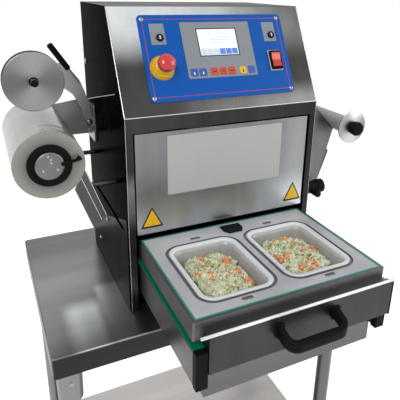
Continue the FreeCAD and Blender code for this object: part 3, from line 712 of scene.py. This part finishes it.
def screenPrint(name, color):
    paint = Paint(name, color, 0.3)
    fine = paint.noise(300.0)
    shown = paint.mix(fine, scaled(color, 0.8), scaled(color, 1.2))
    paint.color(shown)
    paint.lit(shown, 0.3)


screenPrint("screenBlue", (0.10, 0.21, 0.58))
screenPrint("screenPale", (0.55, 0.62, 0.72))
controlFace()
print("control face dressed")


# ---- stop head
stopShape = {"x": -145.0, "up": 108.0, "base": 28.0, "radius": 20.0, "crown": 20.0}


def stopHead():
    # a mushroom: flat skirt, straight rim and a crown that follows a quarter ellipse
    d = stopShape
    ez = faceAxes()[2]
    centre = onFace(d["x"], d["up"], 0.0)
    t = np.linspace(0, math.pi / 2, 14)
    r, b = d["radius"], d["base"]
    crown = np.stack([r * np.cos(t) ** 0.86, b + 7.5 + (d["crown"] - 7.5) * np.sin(t)], -1)
    crown[-1, 0] = 0.0
    skirt = [(0, b - 19), (10, b - 19), (10, b - 0.3), (r - 3.4, b), (r - 1.2, b + 0.7),
             (r - 0.2, b + 2.2), (r, b + 4.0)]
    addPiece("stopHead", "stop_head", lathe(centre, [*skirt, *crown], 96, ez),
             "redPlastic", smooth=50, replaces="stop_button")
    # grip ring on the collar
    grip = [(17.2, 12), (19.0, 12.6), (19.0, 17.0), (17.2, 18.0), (17.2, 12)]
    addPiece("stopGrip", "root", lathe(centre, grip, 64, ez), "yellowPlastic")


stopHead()


# ---- reels
reel = {"x": -405.0, "z": 396.0, "front": 30.0, "length": 305.0, "radius": 75.0, "core": 46.0,
        "bore": 31.0}


def filmPaint():
    # wound clear film: milky, cream where the layers' edges show
    paint = Paint("woundFilm", (0.42, 0.415, 0.405), 0.24, coat=0.35)
    c = toRow((reel["x"], reel["front"], reel["z"]))
    dx, dz = paint.x - c[0], paint.z - c[2]
    radius = (dx * dx + dz * dz).root()
    layers = (radius * 9000.0).sine() * 0.5 + 0.5
    slow = paint.noise(16.0, (1, 0.3, 1), 3.0)
    winding = paint.noise(260.0)
    depth = (paint.y - c[1]) / 0.305
    body = paint.mix(slow.between(0.3, 0.7), (0.33, 0.325, 0.32), (0.44, 0.435, 0.425))
    creamy = paint.mix(radius.between(0.046, 0.075), (0.13, 0.125, 0.115), (0.29, 0.275, 0.25))
    rings = paint.mix(layers * 0.22 + winding * 0.12, creamy, (0.50, 0.49, 0.45))
    edge = 1 - depth.between(0.004, 0.02)
    paint.color(paint.mix(edge, body, rings))
    paint.rough(slow * 0.18 + 0.16)
    paint.bump(layers * edge + slow * 0.4, 0.35, 0.0003)


def filmReel():
    d = reel
    filmPaint()
    centre = (d["x"], d["front"], d["z"])
    r, c, long_ = d["radius"], d["core"], d["length"]
    along = np.linspace(1.6, long_ - 1.6, 40)
    # the outer wrap is a little uneven along its length
    wrap = np.stack([r - 0.47 - 0.22 * np.sin(along / 17.0) - 0.2 * np.sin(along / 5.3), along],
                    -1)
    face = [(c + 0.05, long_ / 2), (c + 0.05, 0.4), (c + 1.2, 0.0), (c + 9, 0.35),
            (c + 16, 0.0), (c + 23, 0.3), (r - 2.0, 0.0), (r - 0.6, 0.5)]
    back = [(r - 0.8, long_ - 0.4), (r - 3, long_), (c + 1, long_), (c + 0.05, long_ - 0.5),
            (c + 0.05, long_ / 2)]
    addPiece("filmRoll", "film_reel", lathe(centre, [*face, *wrap, *back], 128),
             "woundFilm", smooth=40, replaces="film_roll")
    b = d["bore"]
    core = [(c, long_), (c, -2.6), (c - 1.4, -4.6), (c - 5, -5), (b + 3, -4.4), (b + 0.1, -3.2),
            (b + 0.1, long_), (c, long_)]
    addPiece("reelCore", "film_reel", lathe(centre, core, 96),
             "blackPlastic", replaces="film_core")
    turned("hubMetal", (0.155, 0.155, 0.155), 0.36, centre, 0.0012)
    hub = [(0, -7.4), (6, -7.6), (12, -7.2), (20, -7.4), (b - 4.5, -7.8), (b - 1.6, -6.8),
           (b - 0.1, -4.8), (b - 0.1, long_), (13, long_), (12.7, long_ - 1), (12.7, 2),
           (0, 2)]
    addPiece("reelHub", "film_reel", lathe(centre, hub, 96), "hubMetal", smooth=50,
             replaces="reel_hub")
    # five small sunk screws on the hub's face
    turn = np.radians([80.0, 96.0, 70.0, 210.0, 330.0])
    far = np.array([15.0, 22.0, 8.0, 17.0, 17.0])
    places = np.stack([d["x"] + far * np.cos(turn), np.full(5, d["front"]),
                       d["z"] + far * np.sin(turn)], -1)
    screw = lathe((0, 0, 0), [(0, -8.1), (1.5, -8.1), (2.9, -8.6), (3.3, -8.1), (3.3, -6.8),
                              (0, -6.8)], 20)
    addPiece("hubScrews", "film_reel", repeated(screw, places), "shaftSteel")
    # wing lever: an eased path with a narrow oval section that swells at the tip
    t = np.linspace(0, 1, 24)
    path = np.stack([d["x"] + b - 8 + 40 * t, np.full(24, d["front"] - 10.2),
                     d["z"] + 2 + 9 * t + 9 * np.clip(t - 0.75, 0, 1) * 4 * (t - 0.6)], -1)
    flat, faces = sweep(path, circle(18) * [2.5, 4.6])
    swell = np.repeat(0.8 + 0.5 * np.exp(-((t - 0.93) / 0.12) ** 2), 18)
    middle = np.repeat(path, 18, axis=0)
    flat = middle + (flat - middle) * swell[:, None]
    addPiece("wingLever", "film_reel", (flat, faces), "blackPlastic", smooth=60,
             replaces="reel_wing")


filmReel()

disc = {"x": -415.0, "z": 564.0, "front": 80.0, "radius": 61.5, "bore": 8.1, "sleeve": 20.0,
        "length": 200.0}


def upperReel():
    d = disc
    centre = (d["x"], d["front"], d["z"])
    # painted sheen: a highlight painted on the disc, brightest above and below its middle
    turned("discMetal", (0.21, 0.208, 0.208), 0.26, centre, 0.0007, sheen=0.5)
    r, b, s = d["radius"], d["bore"], d["sleeve"]
    profile = [(b, 0), (r - 2.2, 0), (r - 1.2, -0.3), (r, 0.2), (r, 2.6), (r - 0.4, 3.0),
               (s, 3.0), (s, 24.0), (r - 0.4, 24.0), (r, 24.4), (r, 26.7), (r - 0.4, 27.0),
               (s, 27.0), (s, d["length"]), (b, d["length"]), (b, 0)]
    addPiece("upperReel", "upper_reel", lathe(centre, profile, 128), "discMetal",
             smooth=30, replaces="upper_disc")
    # a dark bead round the rim, painted shade along the disc's edge, and the dark bore cap in
    # front of the shaft
    bead = [(r - 0.2, 0.1), (r + 0.25, 0.3), (r + 0.25, 2.7), (r - 0.2, 2.9), (r - 0.2, 0.1)]
    addPiece("discEdgeShade", "upper_reel", lathe(centre, bead, 128), "blackPlastic")
    cap = [(b + 0.2, 0.6), (9.6, 0.2), (9.9, -1.6), (9.2, -2.4), (b + 0.2, -2.4),
           (b + 0.2, 0.6)]
    addPiece("discCap", "upper_reel", lathe(centre, cap, 48), "blackPlastic")
    end = [(0, -16.2), (6.8, -16.2), (7.8, -17.0), (7.6, -18.2), (0, -18.6)]
    addPiece("shaftCap", "root", lathe(centre, end, 40), "blackPlastic")


upperReel()

spool = {"x": 380.0, "z": 404.0, "radius": 23.0, "flange": 45.0, "bore": 8.1}


def scrapReel():
    d = spool
    centre = (d["x"], 0.0, d["z"])
    # painted sheen: a highlight painted on the flange, brightest above and below its middle
    turned("flangeMetal", (0.40, 0.40, 0.405), 0.30, centre, 0.0009, sheen=0.4)
    r, f, b = d["radius"], d["flange"], d["bore"]
    sleeve = [(b, 6.1), (r - 0.8, 6.1), (r, 7.0), (r, 375.0), (r - 0.8, 376.5), (b, 376.5),
              (b, 6.1)]
    addPiece("spoolTube", "scrap_reel", lathe(centre, sleeve, 72),
             "tubePale", replaces="scrap_spool")
    plate = [(b, 2.0), (f - 1.2, 2.0), (f, 2.9), (f, 5.2), (f - 1.0, 6.0), (b, 6.0), (b, 2.0)]
    addPiece("spoolFlange", "scrap_reel", lathe(centre, plate, 112), "flangeMetal",
             smooth=40, replaces="spool_flange")
    # fluted knob: the radius dips eight times round, and the crown is domed
    steps, flutes = 128, 8
    turn = np.linspace(0, 2 * math.pi, steps, endpoint=False)
    dip = np.clip(np.cos(flutes * turn), 0, 1) ** 1.5
    heights = np.array([2.0, 1.9, -3, -18, -21.5, -23.4, -24.0, -24.0])
    radii = np.array([0.1, 16, 17.5, 19, 18.2, 15.8, 11.0, 0.1])
    flute = np.array([0, 0, 0.4, 2.6, 2.2, 1.2, 0.2, 0])
    radius = radii[:, None] - flute[:, None] * dip[None]
    points = np.stack([d["x"] + radius * np.cos(turn), np.broadcast_to(
        heights[:, None], radius.shape), d["z"] + radius * np.sin(turn)], -1)
    addPiece("spoolKnob", "scrap_reel", tube(points), "blackPlastic", smooth=40,
             replaces="spool_knob")


scrapReel()
print("reels turned")


# ---- arm sleeve and small fasteners
sleeveShape = {"bend": (-283.0, 512.0), "tip": (-351.0, 615.0), "y": 300.0, "from": 0.375,
               "radius": 8.0, "rod": 4.0}
armShape = {
    "planes": (297.0, 297.01, 303.0),
    "outline": (
        (-254, 397), (-261, 396), (-268, 399), (-275, 420), (-287, 455), (-303, 486), (-327, 506),
        (-357, 519), (-400, 545), (-425, 553), (-428, 572), (-417, 578), (-380, 574), (-345, 570),
        (-322, 566), (-303, 549), (-284, 524), (-272, 492), (-262, 456), (-256, 421), (-254, 421)),
}


def armSleeve():
    # round grip with shallow rings along its length and eased ends
    d = sleeveShape
    (x0, z0), (x1, z1) = d["bend"], d["tip"]
    t = np.linspace(d["from"], 1.0, 90)
    path = np.stack([x0 + (x1 - x0) * t, np.full(90, d["y"]), z0 + (z1 - z0) * t], -1)
    flat, faces = sweep(path, circle(24) * d["radius"], up=(0, -1, 0))
    ease = np.clip(np.minimum(t - t[0], t[-1] - t) / 0.03, 0.0, 1.0) ** 0.5
    rib = 1 - 0.06 * (0.5 + 0.5 * np.cos(np.arange(90) * math.pi / 2.5))
    grown = np.repeat((0.7 + 0.3 * ease) * rib, 24)
    middle = np.repeat(path, 24, axis=0)
    addPiece("armGrip", "root", (middle + (flat - middle) * grown[:, None], faces),
             "blackPlastic", smooth=50, replaces="arm_sleeve")


armSleeve()


def discArm():
    # flat arm that widens towards the disc, with the rod of the sleeve on it
    d = sleeveShape
    (x0, z0), (x1, z1) = d["bend"], d["tip"]
    rod, length = d["rod"], math.hypot(x1 - x0, z1 - z0)
    stem = lathe((x0, d["y"], z0), [(0, 0), (rod, 0), (rod, length - 1), (0, length - 1)], 24,
                 (x1 - x0, 0, z1 - z0))
    plate = extruded(armShape["outline"], armShape["planes"])
    addPiece("discArm", "root", [plate, stem], "armSteel",
             replaces="disc_arm")


discArm()


chuteShape = {
    "cheek": ((252, 170), (252, 452), (296, 452), (360, 390), (316, 229), (286, 229)),
    "cheekPlanes": (56.0, 57.0, 59.0), "bendRadius": 1.3,
    "bends": (((-286, 59, 246), (-327, 59, 362)), ((-297, 59, 236), (-338, 59, 348)),
              ((-317, 59, 218), (-353, 59, 320)), ((-252, 292, 430), (-252, 292, 455)),
              ((-262, 382, 455), (-402, 382, 435)), ((-252, 60, 530), (-252, 377, 453))),
}


def chuteDetails():
    # the right chute's cheek up to the spool, and painted highlights along the bends on the left
    # side
    d = chuteShape
    addPiece("chuteCheek", "root", extruded(d["cheek"], d["cheekPlanes"]), "cheekSteel")
    beads = [bead(start, end, d["bendRadius"], (0, 1, 0) if start[0] != end[0] else (1, 0, 0),
                  10, 5) for start, end in d["bends"]]
    addPiece("bendLines", "root", beads, "foldBright", smooth=60)


chuteDetails()


# ---- bolts
bolts = {
    "covers": ((207, 158), (302, 56)),
    "sides": ((370, 560), (370, 200)),
    "arms": ((355, 370), (355, 438)),
    "holes": ((137, 121), (50, 112)),
    "reach": {"covers": 252.0, "sides": 250.0, "arms": 254.0, "holes": 252.0},
}


def sideBolts():
    # dome screws with washers on both sides, mirrored, each with a socket painted dark as shade;
    # the holes are flat discs painted dark as shade
    washer = [(0, -0.2), (6.4, -0.2), (6.4, 0.9), (4.8, 1.0), (4.6, 2.0), (3.6, 3.2), (1.9, 3.9),
              (0, 4.0)]
    socket = [(0, 3.4), (1.9, 3.4), (1.9, 4.15), (0, 4.15)]
    ring = [(0, -0.3), (9.2, -0.3), (9.2, 0.5), (0, 0.5)]
    hole = [(0, -0.3), (2.6, -0.3), (2.6, 0.2), (0, 0.2)]
    shells, darks = [], []
    for side in (-1, 1):
        out = (side, 0, 0)
        for kind, reach in bolts["reach"].items():
            for y, z in bolts[kind]:
                place = (side * reach, y, z)
                if kind == "holes":
                    darks.append(lathe(place, hole, 16, out))
                    continue
                if kind != "arms":
                    darks.append(lathe(place, ring, 28, out))
                shells.append(lathe(place, washer, 28, out))
                darks.append(lathe(place, socket, 6, out))
    addPiece("sideBolts", "root", shells, "shaftSteel")
    addPiece("boltSockets", "root", darks, "blackPrint")
    # the pivot of the cranked arm, facing the front
    front = (0, -1, 0)
    nut = [(0, -0.3), (9.5, -0.3), (9.5, 1.2), (7.0, 1.2), (6.6, 4.6), (5.4, 5.6), (0, 5.8)]
    addPiece("armNuts", "root", lathe((-265.0, 297.0, 408.0), nut, 36, front),
             "shaftSteel")


sideBolts()


# ---- bent edges, with painted highlights along them
def foldLines():
    # slim round beads along the bends of the cabinet
    # the beads are bright steel: painted highlights along the bends
    half, upright = machine["halfWidth"], (1, 0, 0)
    foot, top = machine["slopeFoot"], 711.5
    beads = [bead((-half + 1, 1.1, foot), (half - 1, 1.1, foot), 1.5, (0, 0, 1)),
             bead((-half + 1.2, 1.2, 456), (-half + 1.2, 1.2, foot - 1), 1.2, upright)]
    for side in (-1, 1):
        x = side * (half - 1)
        beads.append(bead((x, 1.2, foot), (x, 121.4, top), 1.3, upright))
        beads.append(bead((x, 1.0, 3), (x, 1.0, foot - 2), 1.1, upright))
    beads.append(bead((-half + 2, 121.6, top + 0.4), (half - 2, 121.6, top + 0.4), 0.9,
                      (0, 0, 1)))
    addPiece("foldLines", "root", beads, "foldBright", smooth=60)


foldLines()


# ---- bare sign and bare triangles on the front panel
signShape = {"middle": (-0.5, 368.0), "half": (152.5, 72.0), "radius": 4.0, "face": 3.0,
             "triangles": ((-192.5, 243.0), (198.0, 244.0)), "inner": 17.0,
             "corners": ((0.0, 27.5), (-26.5, -23.0), (26.5, -23.0))}


def frontSigns():
    d = signShape
    place = frontPlace(d["face"])
    sign = roundedPlate(d["middle"], d["half"], d["radius"], -0.2, 1.0, place, 0.35)
    addPiece("signPlate", "root", sign, "signWhite")
    # a triangle with rounded corners: the corners' circles joined by straight runs
    corners = np.array(d["corners"])

    def loop(shift, radius, inset):
        points = []
        for k, c in enumerate(corners * (1 - inset / d["inner"])):
            turn = np.radians(90.0 + 120.0 * k + np.linspace(-60, 60, 7))
            points.append(c * 0.93 + radius * np.stack([np.cos(turn), np.sin(turn)], -1))
        return np.concatenate(points) + shift

    rims, fills = [], []
    for middle in np.array(d["triangles"]):
        rims.append(slab([loop(middle, 2.0, 0)] * 2 + [loop(middle, 1.8, 0.2)],
                         [-0.2, 0.5, 0.7], place))
        fills.append(slab([loop(middle, 0.9, 3.2)] * 2 + [loop(middle, 0.8, 3.4)],
                          [0.3, 0.95, 1.05], place))
    addPiece("triangleRims", "root", rims, "blackPrint")
    addPiece("triangleFaces", "root", fills, "warnYellow")


frontSigns()


skirtShape = {"half": 228.5, "low": 204.5, "high": 216.4, "face": 3.0, "lip": 12.0,
              "sheet": 1.5}


def panelSkirt():
    # the panel's lower lip, folded back below its pan
    d = skirtShape
    low, high, face, sheet = d["low"], d["high"], d["face"], d["sheet"]
    outline = np.array([[face, high], [face, low + sheet], [face + 0.5, low + 0.4],
                        [face + sheet, low], [face + d["lip"], low],
                        [face + d["lip"], low + sheet], [face + 2, low + sheet],
                        [face + 2, high]])
    rings = np.stack([np.column_stack([np.full(len(outline), x), outline])
                      for x in (-d["half"], d["half"])])
    addPiece("panelSkirt", "root", tube(rings), "panelSteel")


panelSkirt()
print("front signs set")


# ---- trays
tray = {"middle": (99.5, -165.0), "half": (84.0, 108.0), "radius": 32.0, "rim": 190.0,
        "depth": 46.0, "flutes": 86, "wall": 0.7}


def trayPaint():
    # thin clear plastic that has gone milky, brighter and less clear along its top
    paint = Paint("trayClear", (0.80, 0.815, 0.83), 0.17, specular=0.6, coat=0.5)
    cloudy = paint.noise(28.0)
    rim = paint.along("z", 180, 190)
    wall = paint.mix(cloudy, (0.56, 0.55, 0.535), (0.68, 0.67, 0.655))
    paint.color(paint.mix(rim, wall, (0.84, 0.875, 0.91)))
    paint.see(rim * 0.35 + cloudy * 0.16 + 0.56)
    paint.rough(cloudy * 0.16 + 0.10)
    paint.bump(cloudy, 0.3, 0.0006)


def trayShell(side):
    # rounded rectangles shrinking down the wall; the wall is fluted by a sine of the outline
    d = tray
    top = d["rim"]
    steps = [(0.0, top + 0.15), (0.0, top + 1.0), (0.8, top + 1.7), (2.6, top + 1.9),
             (4.6, top + 1.5), (6.2, top + 1.2), (8.4, top + 1.3), (9.6, top - 0.2),
             (10.4, top - 4.0), (11.1, top - 8.5), (13.1, top - 9.6), (13.8, top - 11.5),
             (15.5, top - 20.0), (17.3, top - 30.0), (19.1, top - 38.5), (20.5, top - 42.0),
             (23.5, top - 44.4), (27.5, top - 44.9), (29.0, top - 44.2), (31.5, top - 44.2),
             (33.0, top - 44.9), (45.5, top - 44.9), (59.0, top - 44.9)]
    rings = []
    for k, (inset, z) in enumerate(steps):
        radius = max(d["radius"] - inset * 0.72, 8.0)
        loop = roundedLoop(d["half"][0] - inset, d["half"][1] - inset, min(
            radius, d["half"][0] - inset - 0.5), 20, 46)
        count = len(loop)
        s = np.linspace(0, 2 * math.pi, count, endpoint=False)
        fluted = 0.55 if 13.4 < inset < 19.5 else 0.0
        centre = np.array([side * d["middle"][0], d["middle"][1]])
        away = loop / np.linalg.norm(loop, axis=1)[:, None]
        loop = loop + away * (fluted * np.sin(s * d["flutes"]))[:, None] + centre
        rings.append(np.column_stack([loop, np.full(count, z)]))
    points = np.stack(rings)
    rows, columns = points.shape[:2]
    faces = gridFaces(rows, columns)
    faces.append(list(range((rows - 1) * columns, rows * columns)))
    flat = points.reshape(-1, 3)
    first = np.array(faces[0])
    normal = np.cross(flat[first[1]] - flat[first[0]], flat[first[2]] - flat[first[0]])
    outwards = flat[first[0], :2] - [side * d["middle"][0], d["middle"][1]]
    if np.dot(normal[:2], outwards) < 0:
        faces = [f[::-1] for f in faces]
    name, node = ("trayLeft", "tray_left") if side < 0 else ("trayRight", "tray_right")
    addPiece(name, "drawer", (flat, faces), "trayClear", smooth=180,
             replaces=node, solid=d["wall"])


trayPaint()
trayShell(-1)
trayShell(1)


# ---- food
food = {"seed": 7, "floor": 145.8, "border": 9.0, "peak": 33.0, "grains": 760, "carrots": 20,
        "greens": 46, "darks": 10, "halfX": 60.0, "halfY": 84.0}


def heapHeight(x, y, side):
    # a lopsided mound: a cosine bell towards the front left, with waves on top
    d = food
    u, v = x / d["halfX"], y / d["halfY"]
    bell = np.clip(1 - (u ** 4 + v ** 4), 0, 1) ** 0.5
    wave = (0.18 * np.sin(x / 9.0 + side) * np.cos(y / 11.0) + 0.12 * np.sin(x / 4.3 + y / 5.1)
            + 0.08 * np.cos(x / 2.9 - y / 3.3 + 2 * side))
    lean = 0.92 - 0.22 * u - 0.12 * v
    rise = (d["peak"] - d["border"]) * bell * np.clip(lean + wave * 0.7, 0.2, 1.15)
    return d["border"] + rise


def foodPaint(name, low, high, roughness=0.42, size=240.0):
    paint = Paint(name, low, roughness, coat=0.25)
    spots = paint.noise(size, (1, 1, 1), 3.0)
    patch = paint.noise(70.0)
    paint.color(paint.mix((spots * 0.6 + patch * 0.6).between(0.42, 0.78), low, high))
    paint.rough(spots * 0.2 + (roughness - 0.1))
    paint.bump(spots, 0.5, 0.0006)


def bean(rows, columns, power):
    # a closed blob: rings of a superellipse from pole to pole
    lat = np.linspace(-math.pi / 2, math.pi / 2, rows)
    across = np.abs(np.cos(lat)) ** power + 0.02
    up = np.sign(np.sin(lat)) * np.abs(np.sin(lat)) ** power
    points = np.concatenate([across[:, None, None] * circle(columns, power),
                             np.broadcast_to(up[:, None, None], (rows, columns, 1))], -1)
    return tube(points)


def scatter(random, count, side, sizes, shape, spread=1.0, lift=0.0):
    # many turned and scaled copies on the mound, all in one array
    d = food
    flat, faces = shape
    x = random.uniform(-1, 1, count * 3) * d["halfX"] * spread
    y = random.uniform(-1, 1, count * 3) * d["halfY"] * spread
    height = heapHeight(x, y, side)
    outside = (x / d["halfX"]) ** 4 + (y / d["halfY"]) ** 4 > 0.86
    keep = np.argsort(outside, kind="stable")[:count]
    x, y, height = x[keep], y[keep], height[keep]
    turns = random.uniform(-1, 1, (count, 3, 3))
    turns, _ = np.linalg.qr(turns)
    size = sizes * random.uniform(0.75, 1.2, (count, 1))
    local = flat[None] * size[:, None, :]
    local = np.einsum("nij,nvj->nvi", turns, local)
    low = local[:, :, 2].min(1)
    centre = np.array([side * tray["middle"][0], tray["middle"][1]])
    z = np.maximum(d["floor"] + height + random.uniform(-1.5, 1.5, count) + lift,
                   d["floor"] - low)
    places = np.column_stack([x + centre[0], y + centre[1], z])
    points = (local + places[:, None]).reshape(-1, 3)
    base = np.arange(count)[:, None, None] * len(flat)
    sided = [(np.array([f for f in faces if len(f) == n])[None] + base).reshape(-1, n).tolist()
             for n in sorted({len(f) for f in faces})]
    return points, [f for some in sided for f in some]


def fillTrays():
    d = food
    random = np.random.default_rng(d["seed"])
    foodPaint("riceMix", (0.50, 0.52, 0.26), (0.88, 0.87, 0.72))
    foodPaint("carrotBits", (0.74, 0.20, 0.035), (0.86, 0.36, 0.12), 0.34)
    foodPaint("greenBits", (0.16, 0.25, 0.05), (0.42, 0.50, 0.18), 0.36)
    foodPaint("oliveBits", (0.03, 0.03, 0.035), (0.12, 0.13, 0.14), 0.28)
    # the bed under the loose bits: a height field closed by a flat floor
    beds = []
    for side in (-1, 1):
        u = np.linspace(0, 1, 40)[:, None]
        loop = circle(96, 0.6) * [d["halfX"] - 1, d["halfY"] - 1]
        x, y = u * loop[:, 0], u * loop[:, 1]
        z = d["floor"] + np.maximum(heapHeight(x, y, side) - 1.0, 0.3)
        ring = np.stack([x + side * tray["middle"][0], y + tray["middle"][1], z], -1)
        skirt = ring[-1:] * np.array([0.86, 0.90, 0]) + np.array(
            [side * tray["middle"][0] * 0.14, tray["middle"][1] * 0.10, d["floor"] - 0.4])
        points = np.concatenate([ring, skirt])
        points[0, :, :2] = points[0, :, :2].mean(0) + 0.02 * (points[1, :, :2]
                                                              - points[1, :, :2].mean(0))
        beds.append(tube(points))
    addPiece("foodBed", "drawer", beds, "riceMix", smooth=180,
             replaces="food_fill")
    grain, chunk = bean(6, 6, 1.0), bean(6, 8, 0.62)
    for name, shape, count, sizes, paint, spread, lift in (
            ("riceGrains", grain, d["grains"], (3.0, 2.6, 6.2), "riceMix", 1.0, 0.8),
            ("carrotBits", chunk, d["carrots"], (6.4, 4.8, 8.2), "carrotBits", 0.86, 1.8),
            ("greenBits", chunk, d["greens"], (3.0, 4.2, 6.4), "greenBits", 0.95, 1.4)):
        shells = [scatter(random, count, side, np.array(sizes), shape, spread, lift)
                  for side in (-1, 1)]
        addPiece(name, "drawer", shells, paint, smooth=60)
    addPiece("oliveBits", "drawer", scatter(random, d["darks"], 1, np.array((3.6, 3.6, 3.0)),
                                             chunk, 0.5, 2.2), "oliveBits", smooth=60)


fillTrays()
print("trays filled")


# ---- handle on the drawer front
handle = {"middle": 14.5, "height": 134.0, "face": -338.0, "half": 75.0, "reach": 46.0,
          "bar": 24.0, "thick": 15.0, "radius": 26.0, "drop": 18.0}


def bailHandle():
    # a U in plan: straight arms, round corners and a straight front bar, dipping forwards
    d = handle
    half, reach, r = d["half"] - d["thick"] / 2, d["reach"] + 2.4 - d["thick"] / 2, 21.0
    arc = np.linspace(0, math.pi / 2, 12)
    left = np.stack([-half + r - r * np.cos(arc), -reach + r - r * np.sin(arc)], -1)
    right = np.stack([half - r + r * np.sin(arc), -reach + r - r * np.cos(arc)], -1)
    arms = np.linspace(0.4, reach - r, 5)[:, None] * np.array([[0.0, -1.0]])
    bars = np.linspace(-half + r, half - r, 8)[1:-1]
    plan = np.concatenate([arms[:-1] + [-half, 0], left, np.column_stack(
        [bars, np.full(6, -reach)]), right, arms[:-1][::-1] + [half, 0]])
    path = np.column_stack([d["middle"] + plan[:, 0], d["face"] + plan[:, 1],
                            d["height"] + plan[:, 1] * math.tan(math.radians(d["drop"]))])
    section = circle(28, 0.45) * [d["thick"] / 2, d["bar"] / 2]
    addPiece("bailHandle", "drawer", sweep(path, section), "blackPlastic",
             smooth=45, replaces="apron_handle")
    screws = [roundedPlate((d["middle"] + s * half, d["height"]), (11.0, 16.0), 6.0, -0.2, 2.2,
                           frontPlace(d["face"]), 0.6) for s in (-1, 1)]
    addPiece("handlePads", "drawer", screws, "blackPlastic")


bailHandle()


# ---- set screws in the leg sockets
socketScrew = {
    "columns": (-415.0, 334.0), "rows": ((-46.0, -1), (439.0, 1)), "reach": 29.2, "z": -88.0,
    "profile": [(0, -0.6), (5.0, -0.6), (5.0, 1.4), (4.2, 1.8), (2.6, 1.8), (2.4, 0.6),
                (0, 0.6)],
}


def tableDetails():
    d = socketScrew
    shells = [lathe((x, y + front * d["reach"], d["z"]), d["profile"], 24, (0, front, 0))
              for y, front in d["rows"] for x in d["columns"]]
    addPiece("socketScrews", "root", shells, "shaftSteel")


tableDetails()
print("small parts set")


# ---- floor, light and camera
def stageFloor():
    paint = Paint("paleFloor", (0.93, 0.93, 0.93), 0.9)
    grain = paint.noise(3.0)
    paint.color(paint.mix(grain, (0.92, 0.92, 0.92), (0.94, 0.94, 0.94)))
    # glows white where it is looked at
    paint.lit(paint.mix(paint.looked(), (0.0, 0.0, 0.0), (1.0, 1.0, 1.0)), 0.62)
    mesh = bpy.data.meshes.new("floorPlane")
    half = 30.0
    mesh.from_pydata([(-half, -half, 0), (half, -half, 0), (half, half, 0), (-half, half, 0)],
                     [], [(0, 1, 2, 3)])
    mesh.materials.append(bpy.data.materials["paleFloor"])
    floor = bpy.data.objects.new("floorPlane", mesh)
    scene.collection.objects.link(floor)


lights = {
    "softKey": {"place": (-1.9, -2.3, 3.4), "target": (0, 0, 1.2), "size": (1.8, 1.8),
                "energy": 56},
    "softFill": {"place": (2.6, -1.6, 2.4), "target": (0, 0, 1.1), "size": (1.8, 1.8),
                 "energy": 26},
    "softBack": {"place": (0.4, 2.6, 3.0), "target": (0, 0, 1.2), "size": (2.0, 1.4),
                 "energy": 8},
    "skyDim": 0.42, "skyWhite": 1.0,
}


def areaLight(name):
    d = lights[name]
    lamp = bpy.data.lights.new(name, "AREA")
    lamp.shape, lamp.energy = "RECTANGLE", d["energy"]
    lamp.size, lamp.size_y = d["size"]
    holder = bpy.data.objects.new(name, lamp)
    scene.collection.objects.link(holder)
    away = Vector(d["target"]) - Vector(d["place"])
    holder.matrix_world = (Matrix.Translation(d["place"])
                           @ away.to_track_quat("-Z", "Y").to_matrix().to_4x4())


def studio():
    world = bpy.data.worlds.new("studio")
    scene.world = world
    world.use_nodes = True
    sky = Graph(world.node_tree)
    strength = sky.value("ShaderNodeMapRange", {},
                         {"Value": sky.looked(), "To Min": lights["skyDim"],
                          "To Max": lights["skyWhite"]})
    background = sky.nodes["Background"]
    background.inputs["Color"].default_value = (1, 1, 1, 1)
    sky.links.new(strength.socket, background.inputs["Strength"])
    for name in ("softKey", "softFill", "softBack"):
        areaLight(name)


def photoCamera():
    # turned and placed so that the cabinet's corners fall where the photograph has them
    d = {"azimuth": 26.01, "down": 19.16, "roll": 1.22, "place": (-511.0, -968.6, 758.5),
         "lens": 43.41, "shift": (-0.03375, -0.116)}
    az, el, roll = np.radians([d["azimuth"], d["down"], d["roll"]])
    ahead = np.array([math.sin(az) * math.cos(el), math.cos(az) * math.cos(el), -math.sin(el)])
    right = np.array([math.cos(az), -math.sin(az), 0.0])
    up = np.cross(right, ahead)
    tiltedRight = math.cos(roll) * right + math.sin(roll) * up
    tiltedUp = -math.sin(roll) * right + math.cos(roll) * up
    lens = bpy.data.cameras.new("photoCamera")
    lens.lens, lens.sensor_width = d["lens"], 36.0
    lens.shift_x, lens.shift_y = d["shift"]
    camera = bpy.data.objects.new("photoCamera", lens)
    turn = Matrix(np.column_stack([tiltedRight, tiltedUp, -ahead]).tolist()).to_4x4()
    camera.matrix_world = Matrix.Translation(toRow(d["place"]).tolist()) @ turn
    scene.collection.objects.link(camera)
    scene.camera = camera


stageFloor()
studio()
photoCamera()
print("studio and camera ready")
